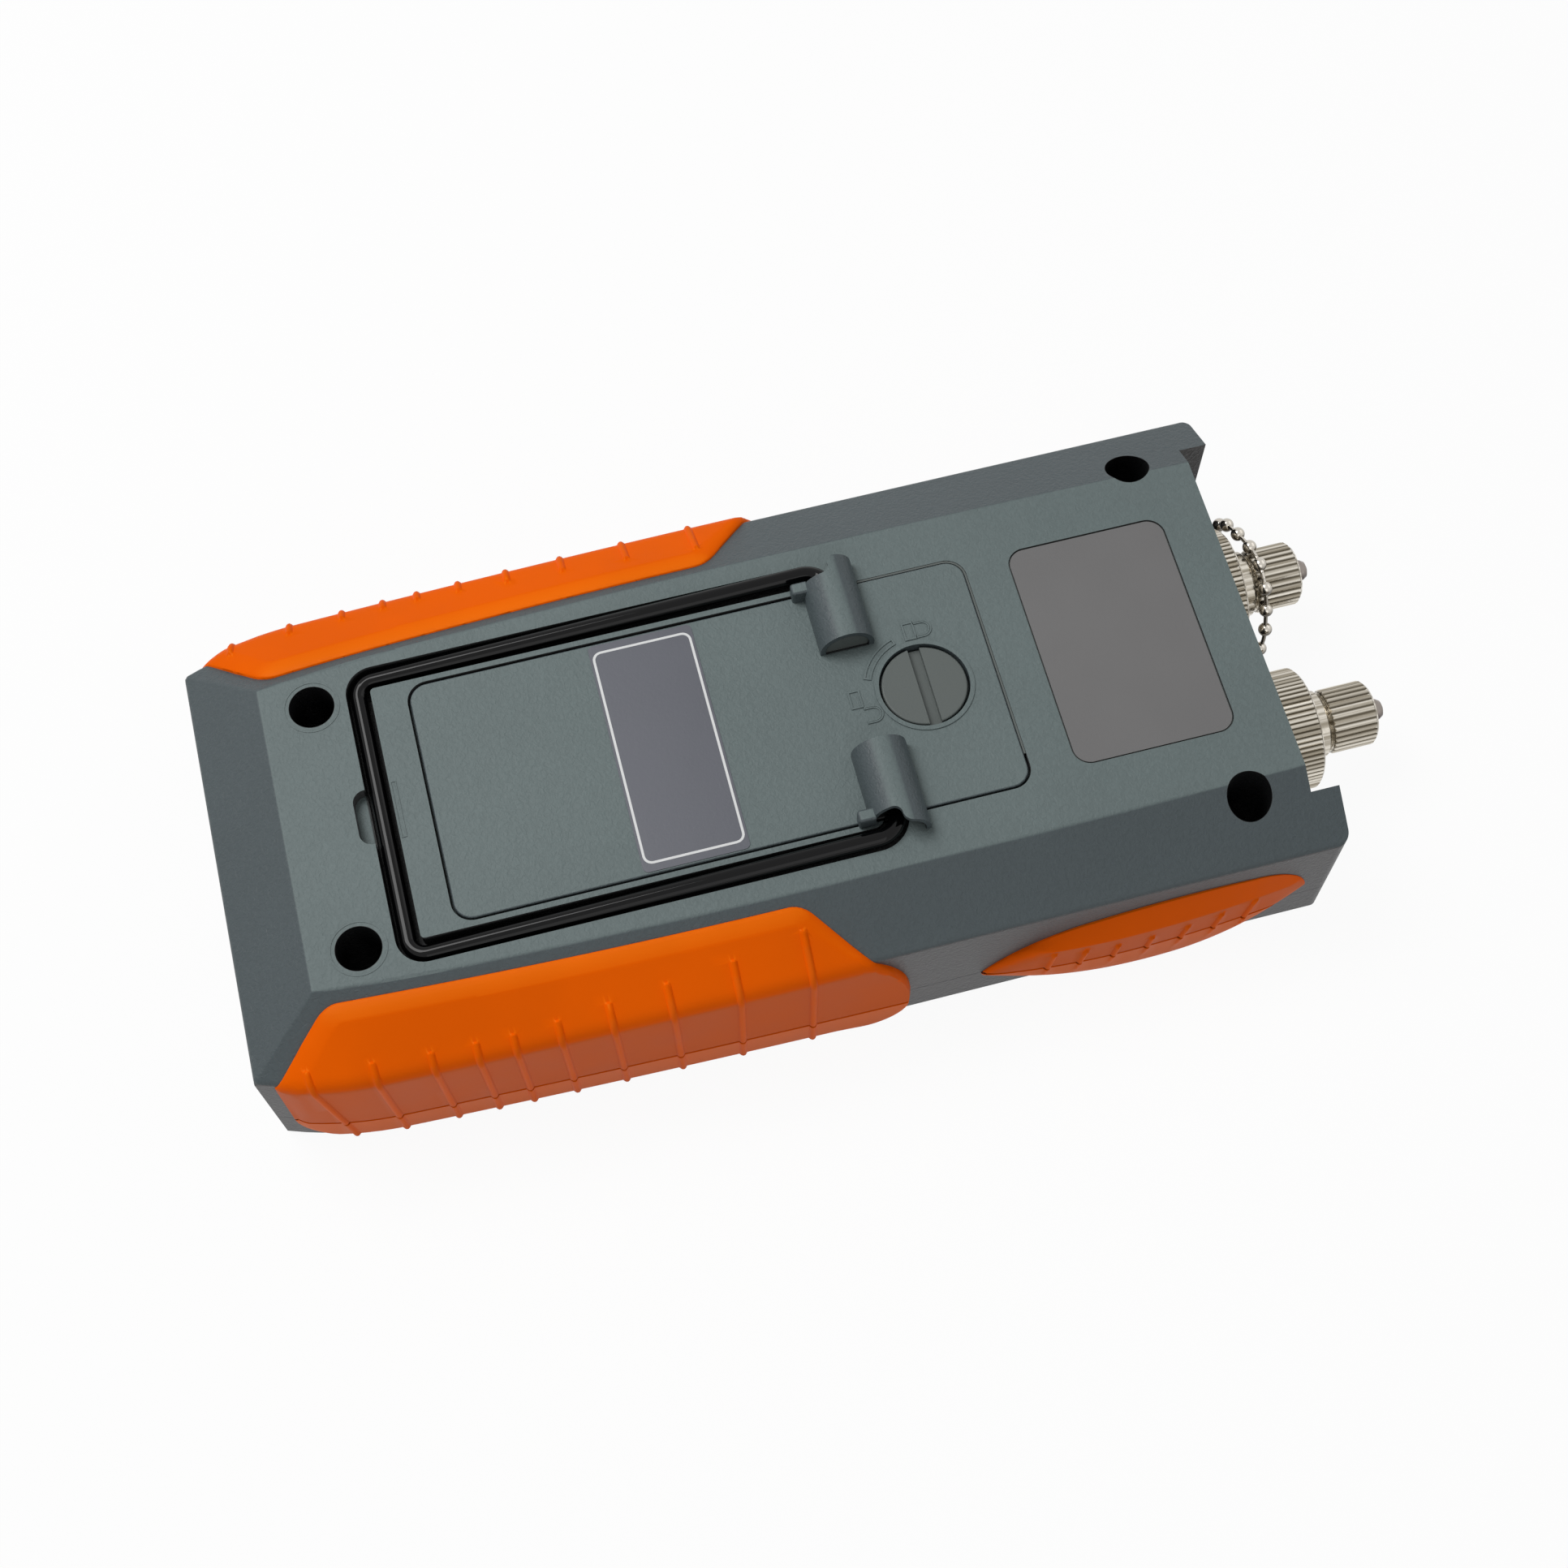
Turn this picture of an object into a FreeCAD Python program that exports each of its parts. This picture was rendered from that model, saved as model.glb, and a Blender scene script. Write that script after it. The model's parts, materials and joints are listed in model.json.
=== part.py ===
import FreeCAD, Part
import math
import os

V = FreeCAD.Vector

# Whole meter, in mm. It lies face down: z is height, t is the distance from the tail edge.
reach = 191.4
thick = 33.0
part_z = 8.5
ridge_z = 26.0
wall = 2.2
tail_y = -reach / 2

# Plan outlines as (half width, t): tail corner, knee, widest place, then the narrowing at the horns.
ridge_plan = ((35.6, 0.0), (39.4, 19.0), (40.6, 100.0), 0.0)
flat_plan = ((26.1, 12.0), (27.85, 35.0), (29.15, 100.0), 0.65)
horn_t = 173.4
horn_round = 2.0
horn_spare = 6.0
horn_in = 32.4
wall_t = 168.7
slope_run = 1.92
slope_rise = 0.56
edge_round = 1.1
front_round = 0.7

# Back face: cover, plate recess, bores, finger scoop.
cover_half = 20.6
cover_t0 = 35.3
cover_t1 = 126.8
cover_round = 3.0
cover_thick = 2.0
cover_edge = 0.3
cover_gap = 0.4
plate_half = 19.9
plate_t0 = 134.2
plate_t1 = 160.8
plate_deep = 0.6
bores = ((21.07, 20.0), (30.9, 158.95))
bore_r = 3.6
bore_floor = 10.5
tube_r = 5.2
scoop_half = 4.7
scoop_t = 25.5
scoop_r = 2.1
scoop_deep = 2.4

# Battery bay under the cover and the two cells in it.
bay_half = 16.0
bay_t0 = 38.5
bay_t1 = 97.0
bay_floor = 14.2
bay_wall = 1.5
cell_r = 7.15
cell_long = 49.5
cell_x = 7.6
cell_t = 42.6
nub_r = 2.75
nub_long = 1.0

# Quarter-turn lock.
knob_t = 115.1
knob_r = 6.88
knob_hole = 7.27
knob_ring = 8.0
hub_r = 4.4
shaft_r = 2.6
slot_wide = 2.0
slot_deep = 1.3
lock_floor = 26.5
lock_under = 24.5
cam_reach = 5.6
cam_half = 1.6
cam_top = 24.1
cam_thick = 1.7

# Bail stand and the clips of the cover that hold it.
wire_r = 1.3
rail_x = 24.0
rail_t = 27.4
hinge_t = 104.9
hinge_z = 33.8
rail_bend = 2.8
pin_bend = 4.0
pin_x = 11.0
bail_tilt = 1.68
groove_in = 2.1
groove_out = 1.8
groove_under = 1.8
clip_r = 4.45
clip_skin = 0.9
clip_in = 9.2
clip_short = 21.1
clip_long = 24.0
step_t = 105.05
lug_x0 = 19.5
lug_x1 = 21.6
lug_t0 = 98.5
lug_z = 36.0
lug_back = 3.75
lug_round = 0.5
overhang = 0.4
pin_fit = 0.05

# Grips.
lift = 1.25
rib_lift = 0.5
rib_wide = 1.1
rib_top = 28.8
grip_low = 1.2
grip_gap = 0.12
long_ribs = (8.9, 18.0, 26.3, 33.5, 39.4, 46.4, 54.5, 63.8, 74.3, 85.8)
upper_ribs = (125.0, 131.0, 136.7, 142.5, 148.2, 154.0, 159.2)
rib_lean = 8.0

# Optical ports.
port_x = 14.2
port_z = 13.0
ring_t0 = 169.1
ring_r = 10.25
neck_r = 5.6
neck_long = 2.9
barrel_r = 4.0
barrel_long = 5.7
boss_r = 4.15
boss_out = 172.6
cap_r = 5.43
cap_long = 8.2
rivet_r = 1.75
rivet_out = 2.5
ferrule_r = 1.6
fit = 0.05
source_front = 177.4
meter_front = 174.2
ring_teeth = 72
cap_teeth = 30
tooth = 0.32

# Front: rim, film, window, keys and what is behind them.
rim_deep = 1.8
face_in = 3.6
film = 0.4
panel_half = 34.0
panel_t0 = 14.0
panel_t1 = 161.0
panel_round = 6.0
window_half = 25.0
window_t0 = 98.0
window_t1 = 146.0
key_x = 13.0
key_rows = (30.0, 46.0, 62.0, 78.0)
key_half = 7.0
key_tall = 4.4
key_top = 0.5
key_gap = 0.35
board_z = 6.5
board_thick = 1.6
board_half = 34.5
board_t0 = 13.0
board_t1 = 152.0
posts = ((31.0, 36.0), (31.0, 92.0))
post_r = 2.4

# Power inlet on the hidden side wall.
jack_t = 108.0
jack_z = 16.0
jack_r = 3.9

# Ball chain and its two rivets.
chain_r = 1.2
chain_turn = 7.2
chain_wrap = 7.1
anchor_z = 3.8
anchor_r = 1.7
anchor_thick = 1.5


def pt(x, t, z):
    return V(x, tail_y + t, z)


def box(x0, x1, t0, t1, z0, z1):
    return Part.makeBox(x1 - x0, t1 - t0, z1 - z0, pt(x0, t0, z0))


def tablet(x0, x1, t0, t1, z0, z1, r):
    solid = box(x0, x1, t0, t1, z0, z1)
    upright = [e for e in solid.Edges if abs(e.Vertexes[0].Z - e.Vertexes[1].Z) > 0.01]
    return solid.makeFillet(r, upright)


def rod(x, t, z0, z1, r):
    return Part.makeCylinder(r, z1 - z0, pt(x, t, z0))


def lying(x, z, t0, t1, r):
    return Part.makeCylinder(r, t1 - t0, pt(x, t0, z), V(0, 1, 0))


def cross(t, z, x0, x1, r):
    return Part.makeCylinder(r, x1 - x0, pt(x0, t, z), V(1, 0, 0))


def turned(x, z, profile):
    corners = [pt(x + r, t, z) for r, t in profile]
    face = Part.Face(Part.makePolygon(corners + corners[:1]))
    return face.revolve(pt(x, 0, z), V(0, 1, 0), 360)


def arc(a, m, b):
    return Part.Arc(a, m, b).toShape()


def mirror(shape):
    return shape.mirror(V(0, 0, 0), V(1, 0, 0))


def save(name, shape):
    shape.exportStep("parts/" + name + ".step")


def swell(a, b, heading):
    # Arc from a to b in plan that arrives at b with the given heading: its middle, and its heading at a.
    chord = (b[0] - a[0], b[1] - a[1])
    turn = 2 * (heading - math.atan2(chord[0], chord[1]))
    long = math.hypot(*chord)
    radius = long / (2 * math.sin(turn / 2))
    rise = radius * (1 - math.cos(turn / 2))
    across = (-chord[1] / long, chord[0] / long)
    mid = ((a[0] + b[0]) / 2 + rise * across[0], (a[1] + b[1]) / 2 + rise * across[1])
    return mid, heading - turn


def plan_wire(plan, z, inset, end_t):
    corner = (plan[0][0] - inset, plan[0][1] + inset)
    knee = (plan[1][0] - inset, plan[1][1])
    wide = (plan[2][0] - inset, plan[2][1])
    slow, heading = swell(knee, wide, 0.0)
    quick, heading = swell(corner, knee, heading)
    narrow = plan[3] * ((end_t - wide[1]) / (horn_t - wide[1])) ** 2
    half = (wide[0] - narrow / 4, (wide[1] + end_t) / 2)
    last = (wide[0] - narrow, end_t)
    sides = []
    for s in (1, -1):
        spots = [pt(s * x, t, z) for x, t in (corner, quick, knee, slow, wide, half, last)]
        straight = arc(*spots[4:7]) if narrow else Part.makeLine(spots[4], spots[6])
        sides.append([arc(*spots[0:3]), arc(*spots[2:5]), straight])
    tail = Part.makeLine(pt(-corner[0], corner[1], z), pt(corner[0], corner[1], z))
    end = Part.makeLine(pt(last[0], end_t, z), pt(-last[0], end_t, z))
    return Part.Wire([tail] + sides[0] + [end] + sides[1][::-1])


def prism(inset, z0, z1, end_t):
    return Part.Face(plan_wire(ridge_plan, z0, inset, end_t)).extrude(V(0, 0, z1 - z0))


def body(low, ridge, top, ridge_in, flat_in, end_t):
    rim = plan_wire(ridge_plan, ridge, ridge_in, end_t)
    flat = plan_wire(flat_plan, top, flat_in, end_t)
    shoulder = Part.makeLoft([rim, flat], True, True)
    return prism(ridge_in, low, ridge, end_t).fuse(shoulder).removeSplitter()


def grown(g, low):
    return body(low, ridge_z + slope_rise * g, thick, -g, -slope_run * g, horn_t)


def sweep(edges, profile):
    return Part.Wire(edges).makePipeShell([profile], True, False)


def ring_wire(centre, axis, r):
    return Part.Wire(Part.makeCircle(r, centre, axis))


# Path of the bail from one hinge pin round to the other, flat in the plane of its hinge.
def bail_path():
    z = hinge_z
    edges = []
    q = math.sqrt(0.5)
    for s in (1, -1):
        side = [Part.makeLine(pt(s * pin_x, hinge_t, z), pt(s * (rail_x - pin_bend), hinge_t, z))]
        cx = rail_x - pin_bend
        ct = hinge_t - pin_bend
        side.append(arc(pt(s * cx, hinge_t, z), pt(s * (cx + pin_bend * q), ct + pin_bend * q, z),
                        pt(s * rail_x, ct, z)))
        low = rail_t + rail_bend
        side.append(Part.makeLine(pt(s * rail_x, ct, z), pt(s * rail_x, low, z)))
        bx = rail_x - rail_bend
        side.append(arc(pt(s * rail_x, low, z), pt(s * (bx + rail_bend * q), low - rail_bend * q, z),
                        pt(s * bx, rail_t, z)))
        edges.append(side)
    bar = Part.makeLine(pt(rail_x - rail_bend, rail_t, z), pt(rail_bend - rail_x, rail_t, z))
    return edges[0] + [bar] + edges[1][::-1]


def tilted(shape):
    shape.rotate(pt(0, hinge_t, hinge_z), V(1, 0, 0), bail_tilt)
    return shape


# What is cut off at the connector end: beyond the horns, round their corners, and between them.
def end_cuts():
    wide = ridge_plan[2][0]
    end = horn_t + horn_spare + 1
    beyond = box(-wide - 2, wide + 2, horn_t - horn_round, end, -1, thick + 2)
    beyond = beyond.cut(tablet(-wide, wide, wall_t - 20, horn_t, -2, thick + 3, horn_round))
    return [beyond, box(-horn_in, horn_in, wall_t, end, -1, thick + 1)]


def shoulder_edges(solid):
    # Edges of the flat back, the ridge and the two tail corners, without the seams between the side faces.
    found = []
    for e in solid.Edges:
        a, b = e.Vertexes
        if min(a.Z, b.Z) < ridge_z - 0.1 or min(a.Y, b.Y) > tail_y + horn_t:
            continue
        if abs(a.Z - b.Z) < 1 or e.CenterOfMass.y < tail_y + flat_plan[0][1]:
            found.append(e)
    return found


# Rear shell.
def rear_housing():
    solid = body(part_z, ridge_z, thick, 0, 0, horn_t + horn_spare)
    solid = solid.makeFillet(edge_round, shoulder_edges(solid))
    cavity = body(part_z - 1, ridge_z - slope_rise * wall, thick - wall, wall, 0.6, wall_t - wall)
    deck = box(-28, 28, 20, 128.5, 27.8, thick)
    bay = box(-bay_half - bay_wall, bay_half + bay_wall, bay_t0 - bay_wall, bay_t1 + bay_wall,
              bay_floor - bay_wall, thick)
    lock = box(-13, 13, 102, 128, lock_under, thick)
    kept = [deck, bay, lock]
    cuts = end_cuts()
    for x, t in bores:
        for s in (1, -1):
            kept.append(rod(s * x, t, part_z - 2, thick, tube_r))
            cuts.append(rod(s * x, t, bore_floor, thick + 1, bore_r))
            cuts.append(rod(s * x, t, part_z - 1, bore_floor, 1.7))
    cuts.append(cavity.cut(kept))
    g = cover_gap
    cuts.append(tablet(-cover_half - g, cover_half + g, cover_t0 - g, cover_t1 + g,
                       thick - cover_thick - 0.1, thick + 1, cover_round + g))
    cuts.append(tablet(-bay_half, bay_half, bay_t0, bay_t1, bay_floor, thick, 2.0))
    cuts.append(rod(0, knob_t, lock_floor, thick, 9.6))
    cuts.append(rod(0, knob_t, lock_under - 1, lock_floor, 3.4))
    cuts.append(box(-1.9, 1.9, knob_t - 6.0, knob_t + 6.0, lock_under - 1, lock_floor))
    cuts.append(tablet(-plate_half, plate_half, plate_t0, plate_t1, thick - plate_deep, thick + 1, 3.0))
    cuts.append(tablet(-scoop_half, scoop_half, scoop_t - scoop_r, scoop_t + scoop_r,
                       thick - scoop_deep, thick + 1, scoop_r - 0.05))
    a = pt(pin_x, hinge_t - groove_in, hinge_z - groove_under)
    b = pt(pin_x, hinge_t + groove_out, hinge_z - groove_under)
    tall = V(0, 0, 12)
    outline = Part.makePolygon([a, b, b + tall, a + tall, a])
    cuts.append(tilted(sweep(bail_path(), outline)))
    for s in (1, -1):
        cuts.append(lying(s * port_x, port_z, wall_t - wall - 1, wall_t + 1, boss_r + fit))
    cuts.append(cross(jack_t, jack_z, -45, -30, jack_r + 0.1))
    return solid.cut(cuts).removeSplitter()


# Front shell.
def key_places():
    return [(s * key_x, t) for t in key_rows for s in (1, -1)]


def front_housing():
    solid = prism(0, 0, part_z, horn_t + horn_spare)
    low = [e for e in solid.Edges if max(v.Z for v in e.Vertexes) < 0.1]
    solid = solid.makeFillet(front_round, low)
    cavity = prism(wall, face_in, part_z + 1, wall_t - wall)
    kept = []
    cuts = end_cuts()
    for s in (1, -1):
        for x, t in bores:
            kept.append(rod(s * x, t, face_in - 1, part_z, 3.4))
            cuts.append(rod(s * x, t, face_in, part_z + 1, 1.25))
        for x, t in posts:
            kept.append(rod(s * x, t, face_in - 1, board_z, post_r))
            cuts.append(rod(s * x, t, face_in, board_z + 1, 1.05))
    cuts.append(cavity.cut(kept))
    cuts.append(tablet(-panel_half, panel_half, panel_t0, panel_t1, -1, rim_deep, panel_round))
    cuts.append(tablet(-window_half, window_half, window_t0, window_t1, 0, face_in + 1, 2.0))
    g = key_gap
    for x, t in key_places():
        cuts.append(tablet(x - key_half - g, x + key_half + g, t - key_tall - g, t + key_tall + g,
                           0, face_in + 1, 2.0 + g))
    return solid.cut(cuts).removeSplitter()


# Grips: a thick skin over shoulder and wall, cut to its outline, with upright ribs.
def long_grip():
    plain = body(0, ridge_z, thick, 0, 0, horn_t)
    z = ridge_z
    top = [Part.makeLine(pt(44, -4.2, z), pt(28.3, 13.2, z)),
           arc(pt(28.3, 13.2, z), pt(30.15, 50, z), pt(30.8, 84.3, z)),
           arc(pt(30.8, 84.3, z), pt(31.15, 86.4, z), pt(32.3, 88.1, z)),
           Part.makeLine(pt(32.3, 88.1, z), pt(40.4, 95.4, z)),
           Part.makeLine(pt(40.4, 95.4, z), pt(44, 97.4, z)),
           Part.makeLine(pt(44, 97.4, z), pt(44, -4.2, z))]
    shoulder = Part.Face(Part.Wire(top)).extrude(V(0, 0, thick - z))
    x = 30
    side = [Part.makeLine(pt(x, 2.2, z), pt(x, 95.4, z)),
            arc(pt(x, 95.4, z), pt(x, 100.2, 19.0), pt(x, 102.0, 9.5)),
            arc(pt(x, 102.0, 9.5), pt(x, 100.2, 4.0), pt(x, 95.0, grip_low)),
            Part.makeLine(pt(x, 95.0, grip_low), pt(x, 8.0, grip_low)),
            arc(pt(x, 8.0, grip_low), pt(x, 4.2, 3.6), pt(x, 2.6, 8.0)),
            Part.makeLine(pt(x, 2.6, 8.0), pt(x, 2.2, z))]
    flank = Part.Face(Part.Wire(side)).extrude(V(20, 0, 0))
    skin = grown(lift, grip_low).common(shoulder.fuse(flank))
    proud = grown(lift + rib_lift, grip_low + 0.6)
    ribs = [proud.common(box(30, 50, t - rib_wide / 2, t + rib_wide / 2, grip_low, rib_top))
            for t in long_ribs]
    return skin.fuse(ribs).cut(plain).removeSplitter()


def upper_outline(x, tip, knots):
    places = [pt(x, t, z) for t, z in (tip,) + knots + (tip,)]
    return Part.Wire([arc(places[i], places[i + 1], places[i + 2]) for i in range(0, len(places) - 1, 2)])


def upper_grip():
    x = ridge_plan[2][0]
    foot = upper_outline(x, (113.7, 7.8), ((121.0, 15.3), (132.8, 19.5), (147.0, 20.9), (158.3, 20.6),
                                           (165.6, 17.8), (168.4, 12.5), (161.5, 4.4), (147.0, 1.4),
                                           (128.0, 1.9)))
    crest = upper_outline(x + 1.5, (116.6, 8.0), ((123.0, 12.8), (133.6, 16.6), (147.0, 18.0),
                                                  (157.6, 17.6), (164.0, 15.2), (166.8, 12.0),
                                                  (160.6, 5.6), (147.0, 2.6), (129.2, 3.1)))
    solid = Part.makeLoft([foot, crest], True, True)
    ribs = []
    for t in upper_ribs:
        rib = box(x, x + 1.9, t - rib_wide / 2, t + rib_wide / 2, 4.4, 12.6)
        rib.rotate(pt(x, t, part_z), V(1, 0, 0), -rib_lean)
        ribs.append(rib)
    return solid.fuse(ribs).removeSplitter()


def halves(name, solid):
    rear = solid.common(box(0, 60, -10, 180, part_z + grip_gap, 40))
    front = solid.common(box(0, 60, -10, 180, 0, part_z - grip_gap))
    save("left_" + name + "_rear", rear)
    save("left_" + name + "_front", front)
    save("right_" + name + "_rear", mirror(rear))
    save("right_" + name + "_front", mirror(front))


# Battery cover with the two clips of the bail.
def clip_arch(outer, z0, x0, x1):
    a = pt(x0, hinge_t - outer, z0)
    b = pt(x0, hinge_t - outer, hinge_z)
    c = pt(x0, hinge_t, hinge_z + outer)
    d = pt(x0, hinge_t + outer, hinge_z)
    e = pt(x0, hinge_t + outer, z0)
    wire = Part.Wire([Part.makeLine(a, b), arc(b, c, d), Part.makeLine(d, e), Part.makeLine(e, a)])
    return Part.Face(wire).extrude(V(x1 - x0, 0, 0))


def clip_cut(far):
    # Everything beyond the clip's end, which steps outwards behind the wire.
    step = (clip_long - clip_short) / 2
    q = step * (1 - math.sqrt(0.5))
    middle = clip_short + step
    before = pt(clip_short, hinge_t - 2 * clip_r, 0)
    rise = pt(clip_short, step_t - step, 0)
    turn = pt(middle, step_t, 0)
    fall = pt(clip_long, step_t + step, 0)
    after = pt(clip_long + 0.5, hinge_t + 2 * clip_r, 0)
    edges = [Part.makeLine(before, rise), arc(rise, pt(clip_short + q, step_t - q, 0), turn),
             arc(turn, pt(clip_long - q, step_t + q, 0), fall), Part.makeLine(fall, after)]
    corners = [after, pt(far + 1, hinge_t + 2 * clip_r, 0), pt(far + 1, hinge_t - 2 * clip_r, 0), before]
    edges += [Part.makeLine(a, b) for a, b in zip(corners, corners[1:])]
    return Part.Face(Part.Wire(edges)).extrude(V(0, 0, 2 * thick))


def clip():
    top = thick - 0.3
    hollow = clip_r - clip_skin
    far = clip_long + 2
    arch = clip_arch(clip_r, top, clip_in, far).cut(clip_arch(hollow, top - 1, clip_in - 1, far + 1))
    under = box(cover_half - 0.3, far, 90, 120, 0, thick + overhang)
    arch = arch.cut([clip_cut(far), under])
    webs = [clip_arch(hollow + 0.2, top, x, x + 2.0) for x in (12.2, 16.8)]
    back = hinge_t - lug_back
    lug = box(lug_x0, lug_x1, lug_t0, back, top, lug_z)
    soft = [e for e in lug.Edges if e.CenterOfMass.y < tail_y + back - 0.1 and e.CenterOfMass.z > thick]
    lug = lug.makeFillet(lug_round, soft).cut(under)
    return arch.fuse(webs + [lug])


def battery_cover():
    z0 = thick - cover_thick
    solid = tablet(-cover_half, cover_half, cover_t0, cover_t1, z0, thick, cover_round)
    rim = [e for e in solid.Edges if min(v.Z for v in e.Vertexes) > thick - 0.1]
    solid = solid.makeFillet(cover_edge, rim)
    adds = [rod(0, knob_t, lock_floor + 1, z0 + 0.5, 9.0)]
    ring = rod(0, knob_t, thick - 0.3, thick + 0.2, knob_ring)
    adds.append(ring)
    cuts = [rod(0, knob_t, z0 - 0.4, thick + 1, knob_hole), rod(0, knob_t, lock_floor, thick, hub_r + fit)]
    half = clip()
    for s in (1, -1):
        x0 = min(s * pin_x - 0.6 * s, s * 22)
        x1 = max(s * pin_x - 0.6 * s, s * 22)
        solid = solid.cut(box(x0, x1, hinge_t - 2.0, hinge_t + 2.0, hinge_z - 1.9, thick + 1))
        cuts.append(cross(hinge_t, hinge_z, x0, x1, wire_r + pin_fit))
        rib = bay_half - 1.6
        adds.append(box(min(s * rib, s * rib + s * 1.2), max(s * rib, s * rib + s * 1.2),
                        44, 92, z0 - 1.5, z0 + 0.5))
        adds.append(half if s == 1 else mirror(half))
        for x in (12.2, 16.8):
            adds.append(box(min(s * x, s * x + s * 2), max(s * x, s * x + s * 2),
                            hinge_t - 2.2, hinge_t + 2.2, hinge_z - 2.2, thick))
    return solid.fuse(adds).cut(cuts).removeSplitter()


def lock_knob():
    z0 = thick - cover_thick - 0.1
    head = rod(0, knob_t, z0, thick - 0.1, knob_r)
    rim = [e for e in head.Edges if min(v.Z for v in e.Vertexes) > thick - 0.2]
    head = head.makeFillet(0.3, rim)
    stem = rod(0, knob_t, lock_floor + 0.8, z0, hub_r)
    shaft = rod(0, knob_t, cam_top - cam_thick - 0.8, lock_floor + 0.8, shaft_r)
    slot = box(-knob_r, knob_r, knob_t - slot_wide / 2, knob_t + slot_wide / 2,
               thick - slot_deep, thick + 1)
    return head.fuse([stem, shaft]).cut(slot).removeSplitter()


def lock_cam():
    z0 = cam_top - cam_thick
    bar = tablet(-cam_half, cam_half, knob_t - cam_reach, knob_t + cam_reach, z0, cam_top, 0.6)
    return bar.fuse(rod(0, knob_t, z0, cam_top, 3.1)).cut(rod(0, knob_t, 0, thick, shaft_r + 0.02))


# Ports.
def knurl(x, z, t0, t1, r, count, bevel):
    corners = []
    for i in range(2 * count):
        a = math.pi * i / count
        reach_r = r - tooth * (i % 2)
        corners.append(pt(x + reach_r * math.cos(a), t0, z + reach_r * math.sin(a)))
    drum = Part.Face(Part.makePolygon(corners + corners[:1])).extrude(V(0, t1 - t0, 0))
    shape = turned(x, z, ((0, t0), (r - bevel, t0), (r + 0.02, t0 + bevel), (r + 0.02, t1 - bevel),
                          (r - bevel, t1), (0, t1)))
    return drum.common(shape)


def adapter(x, front):
    ring = knurl(x, port_z, ring_t0, front, ring_r, ring_teeth, 0.6)
    tip = front + neck_long + barrel_long
    nose = turned(x, port_z, ((0, front - 0.5), (neck_r, front - 0.5), (neck_r, front + neck_long - 0.3),
                              (neck_r - 0.3, front + neck_long), (barrel_r, front + neck_long),
                              (barrel_r, tip - 0.4), (barrel_r - 0.4, tip), (0, tip)))
    bores_in = [lying(x, port_z, ring_t0 - 1, boss_out + 0.4, boss_r + fit),
                lying(x, port_z, boss_out, tip + 1, ferrule_r)]
    return ring.fuse(nose).cut(bores_in).removeSplitter()


def cap(x, front):
    t0 = front + neck_long + 0.3
    t1 = t0 + cap_long
    drum = knurl(x, port_z, t0, t1, cap_r, cap_teeth, 0.7)
    hollow = lying(x, port_z, t0 - 1, front + neck_long + barrel_long + 0.4, barrel_r + fit)
    return drum.cut([hollow, lying(x, port_z, t0, t1 + 1, 0.85)])


def cap_rivet(x, front):
    t1 = front + neck_long + 0.3 + cap_long
    r = rivet_r
    tip = t1 + rivet_out
    profile = ((0, t1 - 1.6), (0.8, t1 - 1.6), (0.8, t1), (r + 0.5, t1), (r + 0.5, t1 + 0.5), (r, t1 + 0.7),
               (r, tip - 0.9), (r * 0.8, tip - 0.3), (r * 0.4, tip), (0, tip))
    return turned(x, port_z, profile)


def boss(x):
    inner = wall_t - wall
    return turned(x, port_z, ((ferrule_r, inner - 2.8), (6.0, inner - 2.8), (6.0, inner - 0.1),
                              (boss_r, inner - 0.1), (boss_r, boss_out), (ferrule_r, boss_out)))


def module(x, long):
    t1 = wall_t - wall - 2.9
    return turned(x, port_z, ((0, t1 - long), (3.2, t1 - long), (3.2, t1 - 6), (4.4, t1 - 6), (4.4, t1),
                              (0, t1)))


def sleeve():
    t0 = boss_out + 1.2
    t1 = source_front + neck_long + barrel_long - 0.6
    r = ferrule_r
    return turned(port_x, port_z, ((r - 0.35, t0), (r - 0.02, t0), (r - 0.02, t1), (r - 0.35, t1)))


# Chain tube: straight runs joined by tangent arcs.
def chain_points():
    step = math.radians(17.25)
    round_r = chain_wrap / math.cos(step)
    neck = []
    for a in (39.25, 73.75, 108.25):
        g = math.radians(a)
        neck.append(pt(-port_x + round_r * math.cos(g), meter_front + 4.05, port_z + round_r * math.sin(g)))
    start = wall_t + anchor_thick + 0.05
    near = [pt(-2.6, start, anchor_z), pt(-3.1, 178.2, anchor_z)]
    far = [pt(-27.1, 176.8, 14.4), pt(-28.2, 178.0, anchor_z), pt(-28.2, start, anchor_z)]
    return near + neck + far


def rounded(points, radius):
    edges = []
    here = points[0]
    smallest = radius
    for i in range(1, len(points) - 1):
        back = (points[i - 1] - points[i]).normalize()
        ahead = (points[i + 1] - points[i]).normalize()
        half = back.getAngle(ahead) / 2
        last = len(points) - 2
        share_in = {1: 0.95, 2: 0.36, last: 0.62}.get(i, 0.49)
        share_out = {1: 0.62, last - 1: 0.36, last: 0.95}.get(i, 0.49)
        cut = min(radius / math.tan(half), share_in * (points[i - 1] - points[i]).Length,
                  share_out * (points[i + 1] - points[i]).Length)
        r = cut * math.tan(half)
        smallest = min(smallest, r)
        a = points[i] + back * cut
        b = points[i] + ahead * cut
        inward = (back + ahead).normalize()
        mid = points[i] + inward * (r / math.sin(half) - r)
        edges.append(Part.makeLine(here, a))
        edges.append(arc(a, mid, b))
        here = b
    edges.append(Part.makeLine(here, points[-1]))
    print("chain turns at", round(smallest, 2), "or more")
    return edges


def chain():
    points = chain_points()
    profile = ring_wire(points[0], points[1] - points[0], chain_r)
    return sweep(rounded(points, chain_turn), profile)


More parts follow.
